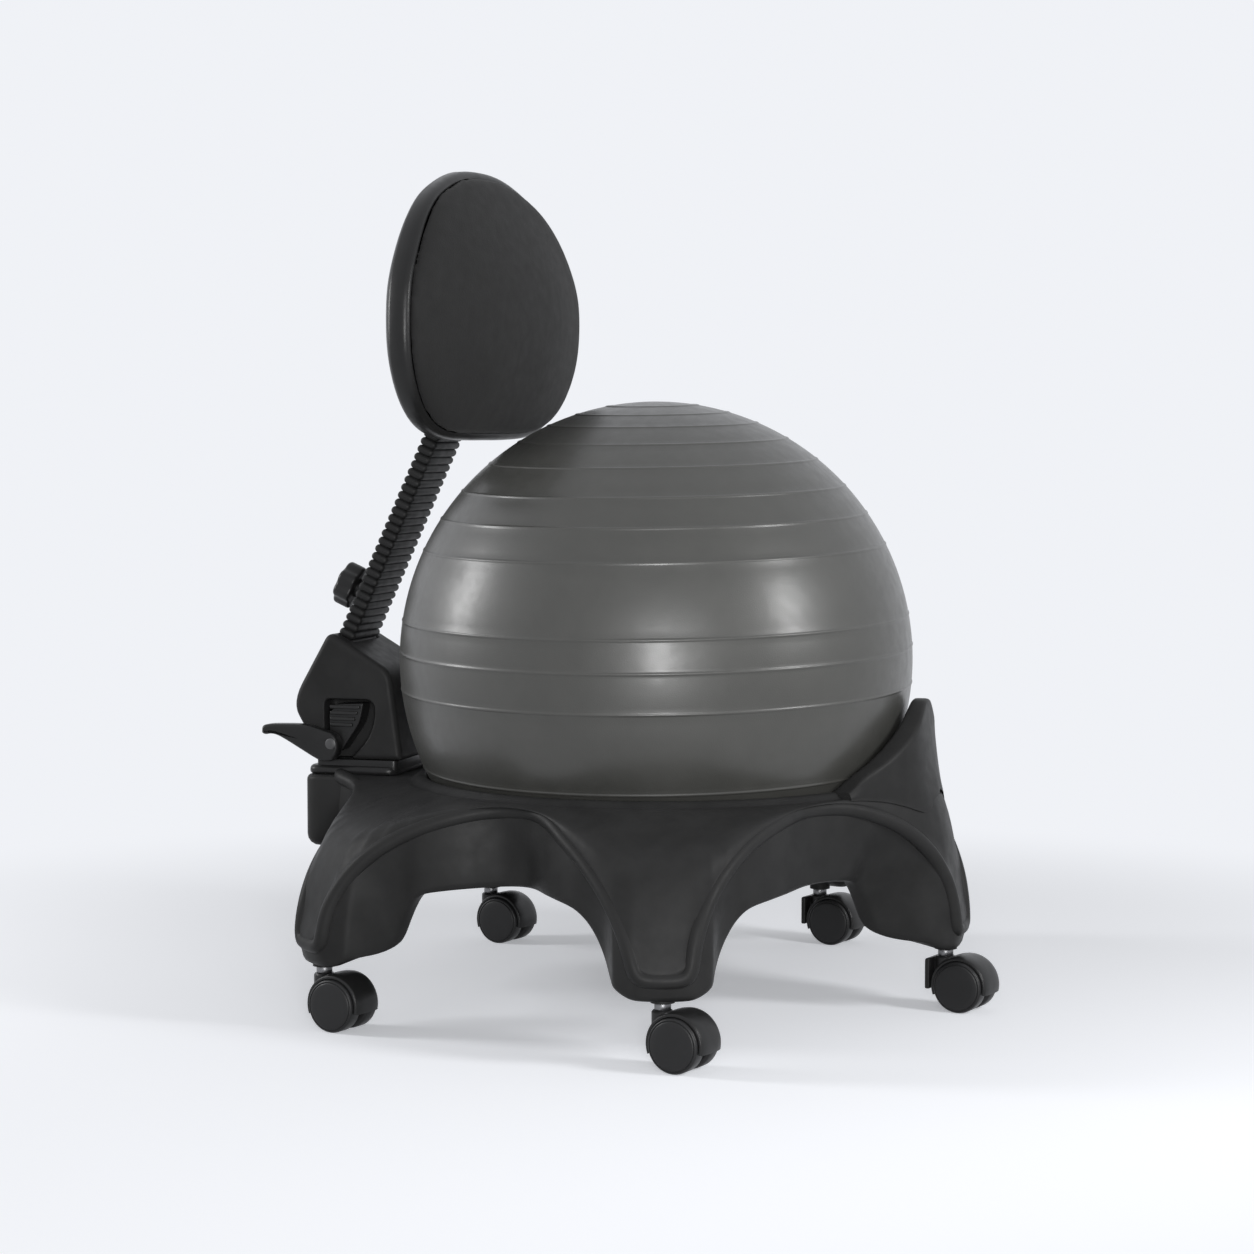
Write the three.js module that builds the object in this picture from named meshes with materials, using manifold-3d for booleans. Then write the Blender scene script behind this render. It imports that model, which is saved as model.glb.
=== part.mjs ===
// Balance ball chair: an exercise ball resting in a five-legged ring base on swivel casters, with a
// ball stop at the front, and a sliding carriage at the rear that carries a height-adjustable backrest
// on a bellows-covered flat post.
// Units are millimetres, +Z is up, the front of the chair faces -Y and the latch side is -X.

import * as THREE from "three";
import { mergeVertices } from "three/addons/utils/BufferGeometryUtils.js";
import Module from "manifold-3d";

const wasm = await Module();
wasm.setup();

const DEG = Math.PI / 180;

// Gaps
const REST_GAP = 0.3; // between pieces that rest on or are fixed to each other
const SEAT_GAP = 0.8; // between the ball and its ring seat
const HORN_GAP = 0.6; // under the ball stop
const RUN_GAP = 0.6; // between pieces that turn or slide
const CUT_OVERRUN = 4; // how far a cutter passes the face it opens

// Ball
const BALL_RADIUS = 255;
const BALL_WALL = 1.6;
const BALL_SIDES = 28;
const BALL_RINGS = 14;
const VALVE_RADIUS = 4;
const VALVE_HEAD_RADIUS = 8;
const VALVE_HEAD_THICKNESS = 1.5;
const VALVE_SHAFT = 8;
const VALVE_SIDES = 8;

// Ring base
const SEAT_RADIUS = 227; // where the ball meets the rim
const SEAT_HEIGHT = 219;
const SEAT_LIP_DROP = 18; // depth of the inner lip that follows the ball
const RIM_BEAD_WIDTH = 14;
const RIM_BEAD_RISE = 3;
const RIM_GROOVE_OUT = 19; // groove outside the bead
const RIM_GROOVE_DROP = 2;
const SHOULDER_OUT = 21; // where the leg faces begin
const BASE_WALL = 5;
const FOOT_HEIGHT = 59; // underside of each foot
const FOOT_NOSE = 18; // from the caster axis out to the foot's front face
const FOOT_HEEL = 25; // from the caster axis in to the foot's inner face
const FOOT_HALF_WIDTH = 45;
const FOOT_CORNER_BACK = 2; // how far the foot's side corner lies inside the caster axis
const FOOT_EDGE_ROUND = 6;
const ARCH_RISE = 87; // from the foot's underside to the top of the arch's lower edge
const ARCH_LOW_RADIUS = 222; // lower edge in the middle of an arch
const ARCH_LIP_WIDTH = 16;
const ARCH_LIP_HEIGHT = 10;
const RIDGE_HALF_WIDTH = 25; // half the leg's front face
const RIDGE_FOOT_RISE = 26; // the ridge's lowest line above the foot's underside
const RIDGE_RISE = 126; // from there to the middle of an arch
const RIDGE_MID_RADIUS = 250;
const RIDGE_BEAD = 3;
const LEG_INNER_WALL_HEIGHT = 45;
const BAND_BULGE = 3;
const ARCH_POWER = 2.25;
const RIDGE_POWER = 1.8;
const FRONT_LEG_REACH = 293; // caster axis to ball axis
const SIDE_LEG_REACH = 350;
const REAR_LEG_REACH = 358;
const SIDE_LEG_ANGLE = 73.9; // degrees from the front
const REAR_LEG_ANGLE = 135.8;
const SOCKET_RADIUS = 11;
const SOCKET_HEIGHT = 36;
// The leg's spine from the shoulder to the ridge: outward share, downward share
const side_spine_shares = [[0.4, 0.145], [0.79, 0.36], [0.9, 0.52], [0.96, 0.75]];
const front_spine_shares = [[0.35, -0.01], [0.64, 0], [0.84, 0.36], [0.93, 0.7]];
const arch_shares = [0.03, 0.1, 0.22, 0.4, 0.62, 0.84];

// Rear platform of the base
const PLATFORM_FRONT = 240;
const PLATFORM_REAR = 351;
const PLATFORM_HALF_WIDTH = 70;
const PLATFORM_TOP = 216.5;
const PLATFORM_BOTTOM = 144;
const PLATFORM_CORNER = 20;

// Front ball stop
const HORN_HALF_ANGLE = 29; // degrees
const HORN_TIP_HEIGHT = 303;
const HORN_TIP_RADIUS = 277; // outer face near the tip
const HORN_BALL_GAP = 3;
const HORN_EDGE = 6; // thickness of its thin ends
const HORN_TIP_ROUND = 3;
const horn_angle_shares = [0, 0.07, 0.16, 0.3, 0.41, 0.51, 0.67, 0.92, 1];
const horn_rise_shares = [1, 0.98, 0.87, 0.66, 0.53, 0.42, 0.26, 0.06, 0];
const horn_foot_shares = [0.66, 0.68, 0.7, 0.8, 0.84, 0.84, 0.84, 0.84, 0.84];

// Rear carriage
const PLATE_FRONT = 254;
const PLATE_REAR = 349;
const PLATE_HALF_WIDTH = 62;
const PLATE_THICKNESS = 9;
const PLATE_STEP = 6; // raised pad under the housing
const PLATE_STEP_INSET = 6;
const PLATE_CORNER = 12;
const HOUSING_HALF_WIDTH = 58;
const HOUSING_ROUND = 7;
const HOUSING_FRONT = 249;
const HOUSING_REAR = 367;
const HOUSING_TOP = 361;
// Side outline of the housing: share from front to rear, share from its floor to its top
const housing_outline_shares = [
  [0.0, 0.0], [0.105, 0.7], [0.66, 1.0], [1.0, 0.45], [0.88, 0.22], [0.77, 0.0],
];
const HOUSING_WALL = 5;
const RECESS_FRONT = 277;
const RECESS_REAR = 331;
const RECESS_TOP = 293;
const RECESS_DEPTH = 25;

// Latch on the near side of the carriage
const CATCH_FRONT = 290;
const CATCH_REAR = 327;
const CATCH_BOTTOM = 240;
const CATCH_TOP = 289;
const CATCH_TAPER = 24;
const CATCH_RIB = 2.5;
const CATCH_RIBS = 4;
const LATCH_PIVOT_REAR = 318.5; // rearward from the ball axis
const LATCH_PIVOT_HEIGHT = 249;
const LATCH_THICKNESS = 14;
const LATCH_LENGTH = 75;
const LATCH_HEIGHT = 36;
const LATCH_ROUND = 3;
const LATCH_PIN_RADIUS = 3;
const LATCH_PIN_HEAD = 2;
const LATCH_PIN_HEAD_RADIUS = 5.5;
const LATCH_PIN_IN = 12; // how far the pin reaches into the catch
// Side outline of the lever about its pivot: length share, height share
const latch_outline_shares = [
  [1.0, 0.45], [1.01, 0.25], [0.88, 0.23], [0.74, 0.17], [0.27, -0.39], [0.15, -0.51], [-0.02, -0.5],
  [-0.09, -0.25], [-0.1, 0.05], [-0.05, 0.28], [0.15, 0.4], [0.38, 0.53], [0.88, 0.51],
];

// Post
const POST_LEAN = 24.5; // degrees forward from vertical
const POST_FOOT_REAR = 317.5; // post axis at the foot of the bellows
const POST_FOOT_DROP = 11; // post's foot mark below the housing's top
const BAR_HALF_WIDTH = 27;
const BAR_THICKNESS = 4;
const BAR_DEPTH = 52; // how far the fixed bar reaches down into the housing
const BACK_TRAVEL_UP = 60;
const BACK_TRAVEL_DOWN = 15;
const BELLOWS_LENGTH = 246;
const BELLOWS_HALF_WIDTH = 38;
const BELLOWS_HALF_DEPTH = 9;
const BELLOWS_BORE_HALF_WIDTH = 31;
const BELLOWS_BORE_HALF_DEPTH = 4.8;
const BELLOWS_RIB_DEPTH = 2.6;
const BELLOWS_RIBS = 28;
const BELLOWS_CORNER = 3;
const WELL_GAP = 1.2;
const BELLOWS_SINK = 9; // how far the bellows starts below the foot mark
const KNOB_ALONG = 47.7; // along the post from the foot mark
const KNOB_RADIUS = 23;
const KNOB_LOBE = 2.6;
const KNOB_LOBES = 7;
const KNOB_THICKNESS = 19;
const KNOB_HUB_RADIUS = 10;
const KNOB_HUB_LENGTH = 10;
const STUD_RADIUS = 3.5;
const STUD_IN_KNOB = 12;
const SLOT_SPARE = 4;

// Backrest
const PAD_HALF_WIDTH = 190;
const PAD_HEIGHT = 268;
const PAD_BELOW_BOSS = 12.9; // lowest edge of the pad below the foot of its boss
const PAD_AHEAD = 53.1; // rim plane of the pad ahead of the foot of its boss
const PAD_YAW = -8; // degrees, as it stands turned on its post
const SHELL_BAND = 19;
const SHELL_DEPTH = 50;
const SHELL_WALL = 4.5;
const CUSHION_CROWN = 40;
const CUSHION_EDGE = 14;
const CUSHION_INSET = 3;
const PAD_SIDES = 30;
// Half outline of the pad from its top round to its bottom: width share, height share
const pad_outline_shares = [
  [0, 1], [0.22, 0.99], [0.43, 0.945], [0.62, 0.88], [0.77, 0.79], [0.9, 0.68], [0.98, 0.56],
  [1, 0.43], [0.98, 0.3], [0.91, 0.19], [0.8, 0.1], [0.66, 0.042], [0.48, 0.01], [0.24, 0.001], [0, 0],
];
const PAD_CENTRE_SHARE = 0.45;
const shell_ring_shares = [[0.965, 0.52], [0.85, 0.73], [0.62, 0.89], [0.3, 0.98]];
const cushion_ring_shares = [[0.995, 0.45], [0.955, 0.9], [0.85, 1.18], [0.68, 1.52], [0.48, 1.82], [0.25, 2.05]];
const BOSS_HALF_WIDTH = 40;
const BOSS_HALF_DEPTH = 11;
const BOSS_LENGTH = 56;
const BOLT_RADIUS = 3;
const BOLT_HEAD_RADIUS = 6;
const BOLT_HEAD = 4;
const BOLT_SPREAD = 18;
const BOLT_ALONG = 13; // from the boss's lower face
const BAR_INTO_BOSS = 48;

// Casters
const WHEEL_RADIUS = 25;
const WHEEL_INNER = 5; // from the caster's middle plane to the wheel's inner face
const WHEEL_OUTER = 22;
const WHEEL_RIM_ROUND = 3;
const WHEEL_FACE_SINK = 1.2;
const WHEEL_SIDES = 16;
const CASTER_TRAIL = 21;
const CASTER_HEADING = -105; // degrees from +X, the way the casters trail
const HOOD_OUTER = 30;
const HOOD_WALL = 3.2;
const HOOD_HALF_WIDTH = 18;
const HOOD_WEB_HALF = 4;
const HOOD_START = -12; // degrees of the hood's arc, measured from straight ahead of the trail
const HOOD_END = 200;
const HOOD_STEPS = 8;
const HOOD_BOSS_RADIUS = 10;
const HOOD_BOSS_TOP = 52;
const HOOD_BOSS_BOTTOM = 30;
const AXLE_RADIUS = 3;
const STEM_RADIUS = 5.5;
const STEM_LENGTH = 30; // above the foot's underside
const STEM_BELOW = 20; // below the foot's underside
const STEM_COLLAR_RADIUS = 7.5;
const STEM_COLLAR = 3;
const ROUND_SIDES = 8;
const BRAKE_HALF_WIDTH = 15;
const BRAKE_THICKNESS = 5;
const BRAKE_TOP = 50;
const BRAKE_BOTTOM = 20;
const BRAKE_SHELF = 10;
const BRAKE_CLEAR = 0.6;

const MATERIALS = {
  base: new THREE.MeshStandardMaterial({ color: 0x2e2f31, roughness: 0.48, metalness: 0 }),
  ball: new THREE.MeshStandardMaterial({ color: 0x5f5f5c, roughness: 0.42, metalness: 0 }),
  dark: new THREE.MeshStandardMaterial({ color: 0x1f2022, roughness: 0.4, metalness: 0 }),
  bellows: new THREE.MeshStandardMaterial({ color: 0x2a2b2c, roughness: 0.6, metalness: 0 }),
  cushion: new THREE.MeshStandardMaterial({ color: 0x242526, roughness: 0.85, metalness: 0 }),
  steel: new THREE.MeshStandardMaterial({ color: 0x3b3d40, roughness: 0.35, metalness: 0.9 }),
  bright: new THREE.MeshStandardMaterial({ color: 0x9a9c9f, roughness: 0.25, metalness: 1 }),
  wheel: new THREE.MeshStandardMaterial({ color: 0x18191a, roughness: 0.5, metalness: 0 }),
  valve: new THREE.MeshStandardMaterial({ color: 0xd8d8d4, roughness: 0.5, metalness: 0 }),
};

// Geometry helpers

const V = (x, y, z) => new THREE.Vector3(x, y, z);
const mix = (a, b, t) => a + (b - a) * t;

// Turns a closed geometry into a solid that can be joined and cut.
function solid(geometry) {
  const g = geometry.clone();
  g.deleteAttribute("normal");
  g.deleteAttribute("uv");
  const merged = mergeVertices(g);
  return new wasm.Manifold(
    new wasm.Mesh({
      numProp: 3,
      vertProperties: new Float32Array(merged.attributes.position.array),
      triVerts: new Uint32Array(merged.index.array),
    }),
  );
}

function geometryOf(body) {
  const m = body.getMesh();
  const positions = new Float32Array(m.numVert * 3);
  for (let i = 0; i < m.numVert; i++)
    positions.set(m.vertProperties.subarray(i * m.numProp, i * m.numProp + 3), i * 3);
  const g = new THREE.BufferGeometry();
  g.setAttribute("position", new THREE.BufferAttribute(positions, 3));
  g.setIndex(new THREE.BufferAttribute(new Uint32Array(m.triVerts), 1));
  g.computeVertexNormals();
  return g;
}

const joined = (...geometries) => geometries.map(solid).reduce((a, b) => a.add(b));
const cut = (body, ...geometries) => geometries.map(solid).reduce((a, b) => a.subtract(b), body);

// Skins a row of rings of equal count. A looped row closes on itself, any other is capped at its ends.
function skin(rings, looped = false) {
  const n = rings[0].length;
  const points = rings.flat();
  const index = [];
  const rows = looped ? rings.length : rings.length - 1;
  for (let i = 0; i < rows; i++) {
    const a = i * n;
    const b = ((i + 1) % rings.length) * n;
    for (let j = 0; j < n; j++) {
      const k = (j + 1) % n;
      index.push(a + j, b + j, b + k, a + j, b + k, a + k);
    }
  }
  if (!looped) {
    for (const [start, first] of [[0, true], [(rings.length - 1) * n, false]]) {
      const centre = V(0, 0, 0);
      for (let j = 0; j < n; j++) centre.add(points[start + j]);
      centre.divideScalar(n);
      const c = points.push(centre) - 1;
      for (let j = 0; j < n; j++) {
        const k = (j + 1) % n;
        if (first) index.push(c, start + j, start + k);
        else index.push(c, start + k, start + j);
      }
    }
  }
  let volume = 0;
  for (let i = 0; i < index.length; i += 3) {
    const [a, b, c] = [points[index[i]], points[index[i + 1]], points[index[i + 2]]];
    volume += a.dot(V(0, 0, 0).crossVectors(b, c));
  }
  if (volume < 0)
    for (let i = 0; i < index.length; i += 3) [index[i + 1], index[i + 2]] = [index[i + 2], index[i + 1]];
  const g = new THREE.BufferGeometry().setFromPoints(points);
  g.setIndex(index);
  g.computeVertexNormals();
  return g;
}

// A solid of revolution about +Z from a profile of [radius, height] pairs.
function turned(profile, sides) {
  const points = profile.map(([r, z]) => new THREE.Vector2(r, z));
  return new THREE.LatheGeometry(points, sides).rotateX(90 * DEG);
}

// A cylinder along +Z between two heights.
function rod(radius, z0, z1, sides = ROUND_SIDES) {
  return new THREE.CylinderGeometry(radius, radius, z1 - z0, sides)
    .rotateX(90 * DEG)
    .translate(0, 0, (z0 + z1) / 2);
}

// A box between two corners.
function block(x0, x1, y0, y1, z0, z1) {
  return new THREE.BoxGeometry(x1 - x0, y1 - y0, z1 - z0).translate((x0 + x1) / 2, (y0 + y1) / 2, (z0 + z1) / 2);
}

// A shape whose corners are rounded by curves that start at most a given distance from each corner.
function roundedShape(points, radius) {
  const shape = new THREE.Shape();
  const n = points.length;
  points.forEach(([x, y], i) => {
    const here = new THREE.Vector2(x, y);
    const before = new THREE.Vector2(...points[(i + n - 1) % n]);
    const after = new THREE.Vector2(...points[(i + 1) % n]);
    const a = here.clone().lerp(before, Math.min(0.45, radius / here.distanceTo(before)));
    const b = here.clone().lerp(after, Math.min(0.45, radius / here.distanceTo(after)));
    if (i === 0) shape.moveTo(a.x, a.y);
    else shape.lineTo(a.x, a.y);
    shape.quadraticCurveTo(here.x, here.y, b.x, b.y);
  });
  shape.closePath();
  return shape;
}

// Extrudes an outline of [y, z] points across X.
function across(outline, round, x0, x1, edge = 0, steps = 3) {
  const shape = roundedShape(outline, round);
  const options = { depth: x1 - x0 - 2 * edge, bevelEnabled: edge > 0, curveSegments: steps };
  if (edge > 0) Object.assign(options, { bevelThickness: edge, bevelSize: edge, bevelOffset: -edge, bevelSegments: 1 });
  const g = new THREE.ExtrudeGeometry(shape, options);
  g.translate(0, 0, x0 + edge);
  return g.applyMatrix4(new THREE.Matrix4().makeBasis(V(0, 1, 0), V(0, 0, 1), V(1, 0, 0)));
}

// Extrudes an outline of [x, y] points upward.
function upward(outline, round, z0, z1, steps = 3) {
  const shape = roundedShape(outline, round);
  return new THREE.ExtrudeGeometry(shape, { depth: z1 - z0, bevelEnabled: false, curveSegments: steps }).translate(0, 0, z0);
}

const rectangle = (x0, x1, y0, y1) => [[x0, y0], [x1, y0], [x1, y1], [x0, y1]];

function piece(name, geometry, material) {
  const mesh = new THREE.Mesh(geometry, material);
  mesh.name = name;
  return mesh;
}

// Places derived from the sizes above

const SEAT_SPHERE = BALL_RADIUS + SEAT_GAP;
const BALL_CENTRE = SEAT_HEIGHT + Math.sqrt(SEAT_SPHERE ** 2 - SEAT_RADIUS ** 2);
const sphereRadiusAt = (z, grow = 0) => Math.sqrt((SEAT_SPHERE + grow) ** 2 - (BALL_CENTRE - z) ** 2);
const SHOULDER_RADIUS = SEAT_RADIUS + SHOULDER_OUT;
const SHOULDER_HEIGHT = SEAT_HEIGHT - RIM_GROOVE_DROP;
const LEGS = [
  { angle: 0, reach: FRONT_LEG_REACH, spine: front_spine_shares },
  { angle: SIDE_LEG_ANGLE, reach: SIDE_LEG_REACH, spine: side_spine_shares },
  { angle: REAR_LEG_ANGLE, reach: REAR_LEG_REACH, spine: side_spine_shares },
  { angle: 360 - REAR_LEG_ANGLE, reach: REAR_LEG_REACH, spine: side_spine_shares },
  { angle: 360 - SIDE_LEG_ANGLE, reach: SIDE_LEG_REACH, spine: side_spine_shares },
];
// The point at a distance from the ball axis, at an angle from the front towards -X.
const around = (radius, angle, z) => V(-radius * Math.sin(angle * DEG), -radius * Math.cos(angle * DEG), z);

// Ring base

// Where the ray at an angle from the leg crosses the straight plan line of an edge: share along it, and radius.
function edgeAt(angle, from, to) {
  const c = Math.cos(angle * DEG);
  const s = Math.sin(angle * DEG);
  const share = (from[1] * c - from[0] * s) / ((from[1] - to[1]) * c - (from[0] - to[0]) * s);
  const t = Math.min(1, Math.max(0, share));
  return [t, Math.hypot(mix(from[0], to[0], t), mix(from[1], to[1], t))];
}

const arched = (share, power) => (1 - (1 - share) ** power) ** (1 / power);

// The outer lines of the base at an angle from a leg whose arch ends at half its span.
function baseLines(leg, angle, halfSpan) {
  const c = Math.cos(halfSpan * DEG);
  const s = Math.sin(halfSpan * DEG);
  const lowFrom = [leg.reach - FOOT_CORNER_BACK, FOOT_HALF_WIDTH];
  const ridgeFrom = [leg.reach + FOOT_NOSE, RIDGE_HALF_WIDTH];
  const lowStart = Math.atan2(lowFrom[1], lowFrom[0]) / DEG;
  const ridgeStart = Math.atan2(ridgeFrom[1], ridgeFrom[0]) / DEG;
  let [share, low] = edgeAt(angle, lowFrom, [ARCH_LOW_RADIUS * c, ARCH_LOW_RADIUS * s]);
  if (angle < lowStart) {
    share = 0;
    low = mix(leg.reach + FOOT_NOSE - RIDGE_BEAD, Math.hypot(...lowFrom), (angle / lowStart) ** 2);
  }
  let [ridgeShare, ridge] = edgeAt(angle, ridgeFrom, [RIDGE_MID_RADIUS * c, RIDGE_MID_RADIUS * s]);
  if (angle < ridgeStart) {
    ridgeShare = 0;
    ridge = Math.hypot(...ridgeFrom);
  }
  return {
    share,
    low,
    lowHeight: FOOT_HEIGHT + ARCH_RISE * arched(share, ARCH_POWER),
    ridge,
    ridgeHeight: FOOT_HEIGHT + RIDGE_FOOT_RISE + RIDGE_RISE * arched(ridgeShare, RIDGE_POWER),
    heel: Math.min((leg.reach - FOOT_HEEL) / Math.cos(Math.min(angle, lowStart) * DEG), low - ARCH_LIP_WIDTH),
  };
}

// The rim and spine points, from the seat outward to the ridge.
function baseTop(leg, lines) {
  const down = SHOULDER_HEIGHT - lines.ridgeHeight;
  const out = lines.ridge - SHOULDER_RADIUS;
  return [
    [SEAT_RADIUS, SEAT_HEIGHT],
    [SEAT_RADIUS + RIM_BEAD_WIDTH / 2, SEAT_HEIGHT + RIM_BEAD_RISE],
    [SEAT_RADIUS + RIM_BEAD_WIDTH, SEAT_HEIGHT + RIM_BEAD_RISE / 2],
    [SEAT_RADIUS + RIM_GROOVE_OUT, SEAT_HEIGHT - RIM_GROOVE_DROP],
    [SHOULDER_RADIUS, SHOULDER_HEIGHT],
    ...leg.spine.map(([a, b]) => [SHOULDER_RADIUS + a * out, SHOULDER_HEIGHT - b * down]),
    [lines.ridge, lines.ridgeHeight],
  ];
}

function baseSection(leg, angle, halfSpan) {
  const here = baseLines(leg, angle, halfSpan);
  // The inner skin repeats the outer one a wall's thickness further from the leg.
  const shift = (BASE_WALL / here.low / DEG) * (1 - angle / halfSpan);
  const inner = baseLines(leg, angle + shift, halfSpan);
  const top = baseTop(leg, here);
  const innerTop = baseTop(leg, inner);
  const innerWall = mix(LEG_INNER_WALL_HEIGHT, ARCH_LIP_HEIGHT, Math.min(1, here.share * 2));
  const bandMiddle = (here.ridge + here.low + BAND_BULGE) / 2;
  const innerMiddle = (inner.ridge + inner.low) / 2 - BASE_WALL;
  const lipHeight = SEAT_HEIGHT - SEAT_LIP_DROP;
  return [
    [sphereRadiusAt(lipHeight), lipHeight],
    ...top,
    [here.ridge - RIDGE_BEAD / 2, here.ridgeHeight - RIDGE_BEAD],
    [bandMiddle, (here.ridgeHeight + here.lowHeight) / 2],
    [here.low, here.lowHeight + FOOT_EDGE_ROUND],
    [here.low - FOOT_EDGE_ROUND, here.lowHeight],
    [here.heel, here.lowHeight],
    [here.heel, here.lowHeight + innerWall],
    [here.heel + BASE_WALL, here.lowHeight + innerWall],
    [here.heel + BASE_WALL, inner.lowHeight + BASE_WALL],
    [inner.low - BASE_WALL, inner.lowHeight + BASE_WALL],
    [innerMiddle, (inner.ridgeHeight + inner.lowHeight) / 2],
    [inner.ridge - BASE_WALL, inner.ridgeHeight - BASE_WALL / 2],
    [innerTop[6][0] - BASE_WALL / 2, innerTop[6][1] - BASE_WALL],
    [SHOULDER_RADIUS - BASE_WALL / 2, SHOULDER_HEIGHT - BASE_WALL - RIM_GROOVE_DROP],
    [sphereRadiusAt(lipHeight) + BASE_WALL, lipHeight],
  ];
}

// The angles from a leg at which the base is measured, out to the middle of its arch.
function legAngles(leg, halfSpan) {
  const ridgeStart = Math.atan2(RIDGE_HALF_WIDTH, leg.reach + FOOT_NOSE) / DEG;
  const from = [leg.reach - FOOT_CORNER_BACK, FOOT_HALF_WIDTH];
  const to = [ARCH_LOW_RADIUS * Math.cos(halfSpan * DEG), ARCH_LOW_RADIUS * Math.sin(halfSpan * DEG)];
  const along = arch_shares.map((t) => Math.atan2(mix(from[1], to[1], t), mix(from[0], to[0], t)) / DEG);
  return [ridgeStart, Math.atan2(from[1], from[0]) / DEG, ...along];
}

function ringBase() {
  const rings = [];
  LEGS.forEach((leg, i) => {
    const next = LEGS[(i + 1) % LEGS.length];
    const last = LEGS[(i + LEGS.length - 1) % LEGS.length];
    const before = ((leg.angle - last.angle + 360) % 360) / 2;
    const after = ((next.angle - leg.angle + 360) % 360) / 2;
    const place = (angle, half) =>
      rings.push(baseSection(leg, Math.abs(angle), half).map(([r, z]) => around(r, leg.angle + angle, z)));
    for (const a of legAngles(leg, before).reverse()) place(-a, before);
    place(0, after);
    for (const a of legAngles(leg, after)) place(a, after);
    place(after, after);
  });
  let body = solid(skin(rings, true));
  const outline = rectangle(-PLATFORM_HALF_WIDTH, PLATFORM_HALF_WIDTH, PLATFORM_FRONT, PLATFORM_REAR);
  const inside = rectangle(
    -PLATFORM_HALF_WIDTH + BASE_WALL, PLATFORM_HALF_WIDTH - BASE_WALL,
    SHOULDER_RADIUS + BASE_WALL, PLATFORM_REAR - BASE_WALL,
  );
  const platform = upward(outline, PLATFORM_CORNER, PLATFORM_BOTTOM, PLATFORM_TOP);
  const hollow = upward(inside, PLATFORM_CORNER - BASE_WALL, PLATFORM_BOTTOM - CUT_OVERRUN, PLATFORM_TOP - BASE_WALL);
  body = body.add(cut(solid(platform), hollow));
  for (const leg of LEGS) {
    const at = around(leg.reach, leg.angle, FOOT_HEIGHT);
    const set = (g) => g.rotateZ(CASTER_HEADING * DEG).translate(at.x, at.y, at.z);
    const boss = set(rod(SOCKET_RADIUS, BASE_WALL / 2, SOCKET_HEIGHT));
    const bore = set(rod(STEM_RADIUS + REST_GAP, -CUT_OVERRUN, STEM_LENGTH + REST_GAP));
    body = cut(body.add(solid(boss)), bore);
  }
  return piece("base_shell", geometryOf(body), MATERIALS.base);
}

// Front ball stop: a saddle on the front leg that rises to a blunt tip.
function ballStop() {
  const leg = LEGS[0];
  const halfSpan = SIDE_LEG_ANGLE / 2;
  const rings = [];
  const rows = horn_angle_shares.map((s, i) => i);
  for (const [side, list] of [[-1, [...rows].reverse()], [1, rows.slice(1)]])
    for (const i of list) {
      const angle = HORN_HALF_ANGLE * horn_angle_shares[i];
      const top = baseTop(leg, baseLines(leg, angle, halfSpan)).map(([r, z]) => [r, z + HORN_GAP]);
      const [knee, ridge] = [top[6], top[7]];
      const along = (horn_foot_shares[i] - leg.spine[1][0]) / (leg.spine[2][0] - leg.spine[1][0]);
      const foot = [mix(knee[0], ridge[0], along), mix(knee[1], ridge[1], along)];
      const baseHeight = top[1][1];
      const tip = mix(baseHeight + HORN_EDGE, HORN_TIP_HEIGHT, horn_rise_shares[i]);
      const tipOut = mix(foot[0], HORN_TIP_RADIUS, horn_rise_shares[i]);
      const innerFoot = [sphereRadiusAt(baseHeight, HORN_BALL_GAP), baseHeight];
      const innerAt = (share) => {
        const z = mix(baseHeight, tip, share);
        return [sphereRadiusAt(z, HORN_BALL_GAP), z];
      };
      const tipIn = innerAt(1)[0];
      rings.push(
        [
          innerFoot, top[2], top[3], top[5], knee, foot,
          [foot[0] - HORN_GAP, foot[1] + HORN_EDGE / 2],
          [mix(foot[0], Math.min(tipOut, foot[0]), 0.75), mix(foot[1], tip, 0.35)],
          [mix(tipOut, tipIn, 0.1), mix(foot[1], tip, 0.8)],
          [mix(tipOut, tipIn, 0.3), tip - HORN_TIP_ROUND / 2],
          [mix(tipOut, tipIn, 0.7), tip],
          innerAt(0.9), innerAt(0.6), innerAt(0.3),
        ].map(([r, z]) => around(r, side * angle, z)),
      );
    }
  return piece("front_ball_stop", skin(rings), MATERIALS.base);
}

// Ball and its valve plug
function ballPieces() {
  const sphere = (radius) =>
    new THREE.SphereGeometry(radius, BALL_SIDES, BALL_RINGS).rotateX(90 * DEG);
  const hole = rod(VALVE_RADIUS, -BALL_RADIUS - CUT_OVERRUN, -BALL_RADIUS + VALVE_SHAFT + CUT_OVERRUN, VALVE_SIDES);
  const body = cut(solid(sphere(BALL_RADIUS)), sphere(BALL_RADIUS - BALL_WALL), hole);
  const ball = piece("ball", geometryOf(body), MATERIALS.ball);
  const head = -BALL_RADIUS - REST_GAP;
  const plug = turned(
    [
      [0, head - VALVE_HEAD_THICKNESS], [VALVE_HEAD_RADIUS, head - VALVE_HEAD_THICKNESS],
      [VALVE_HEAD_RADIUS, head], [VALVE_RADIUS - REST_GAP, head],
      [VALVE_RADIUS - REST_GAP, head + VALVE_SHAFT], [0, head + VALVE_SHAFT],
    ],
    VALVE_SIDES,
  );
  const group = new THREE.Group();
  group.add(ball, piece("ball_valve_plug", plug, MATERIALS.valve));
  group.position.set(0, 0, BALL_CENTRE);
  return group;
}

// Rear carriage

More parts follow.
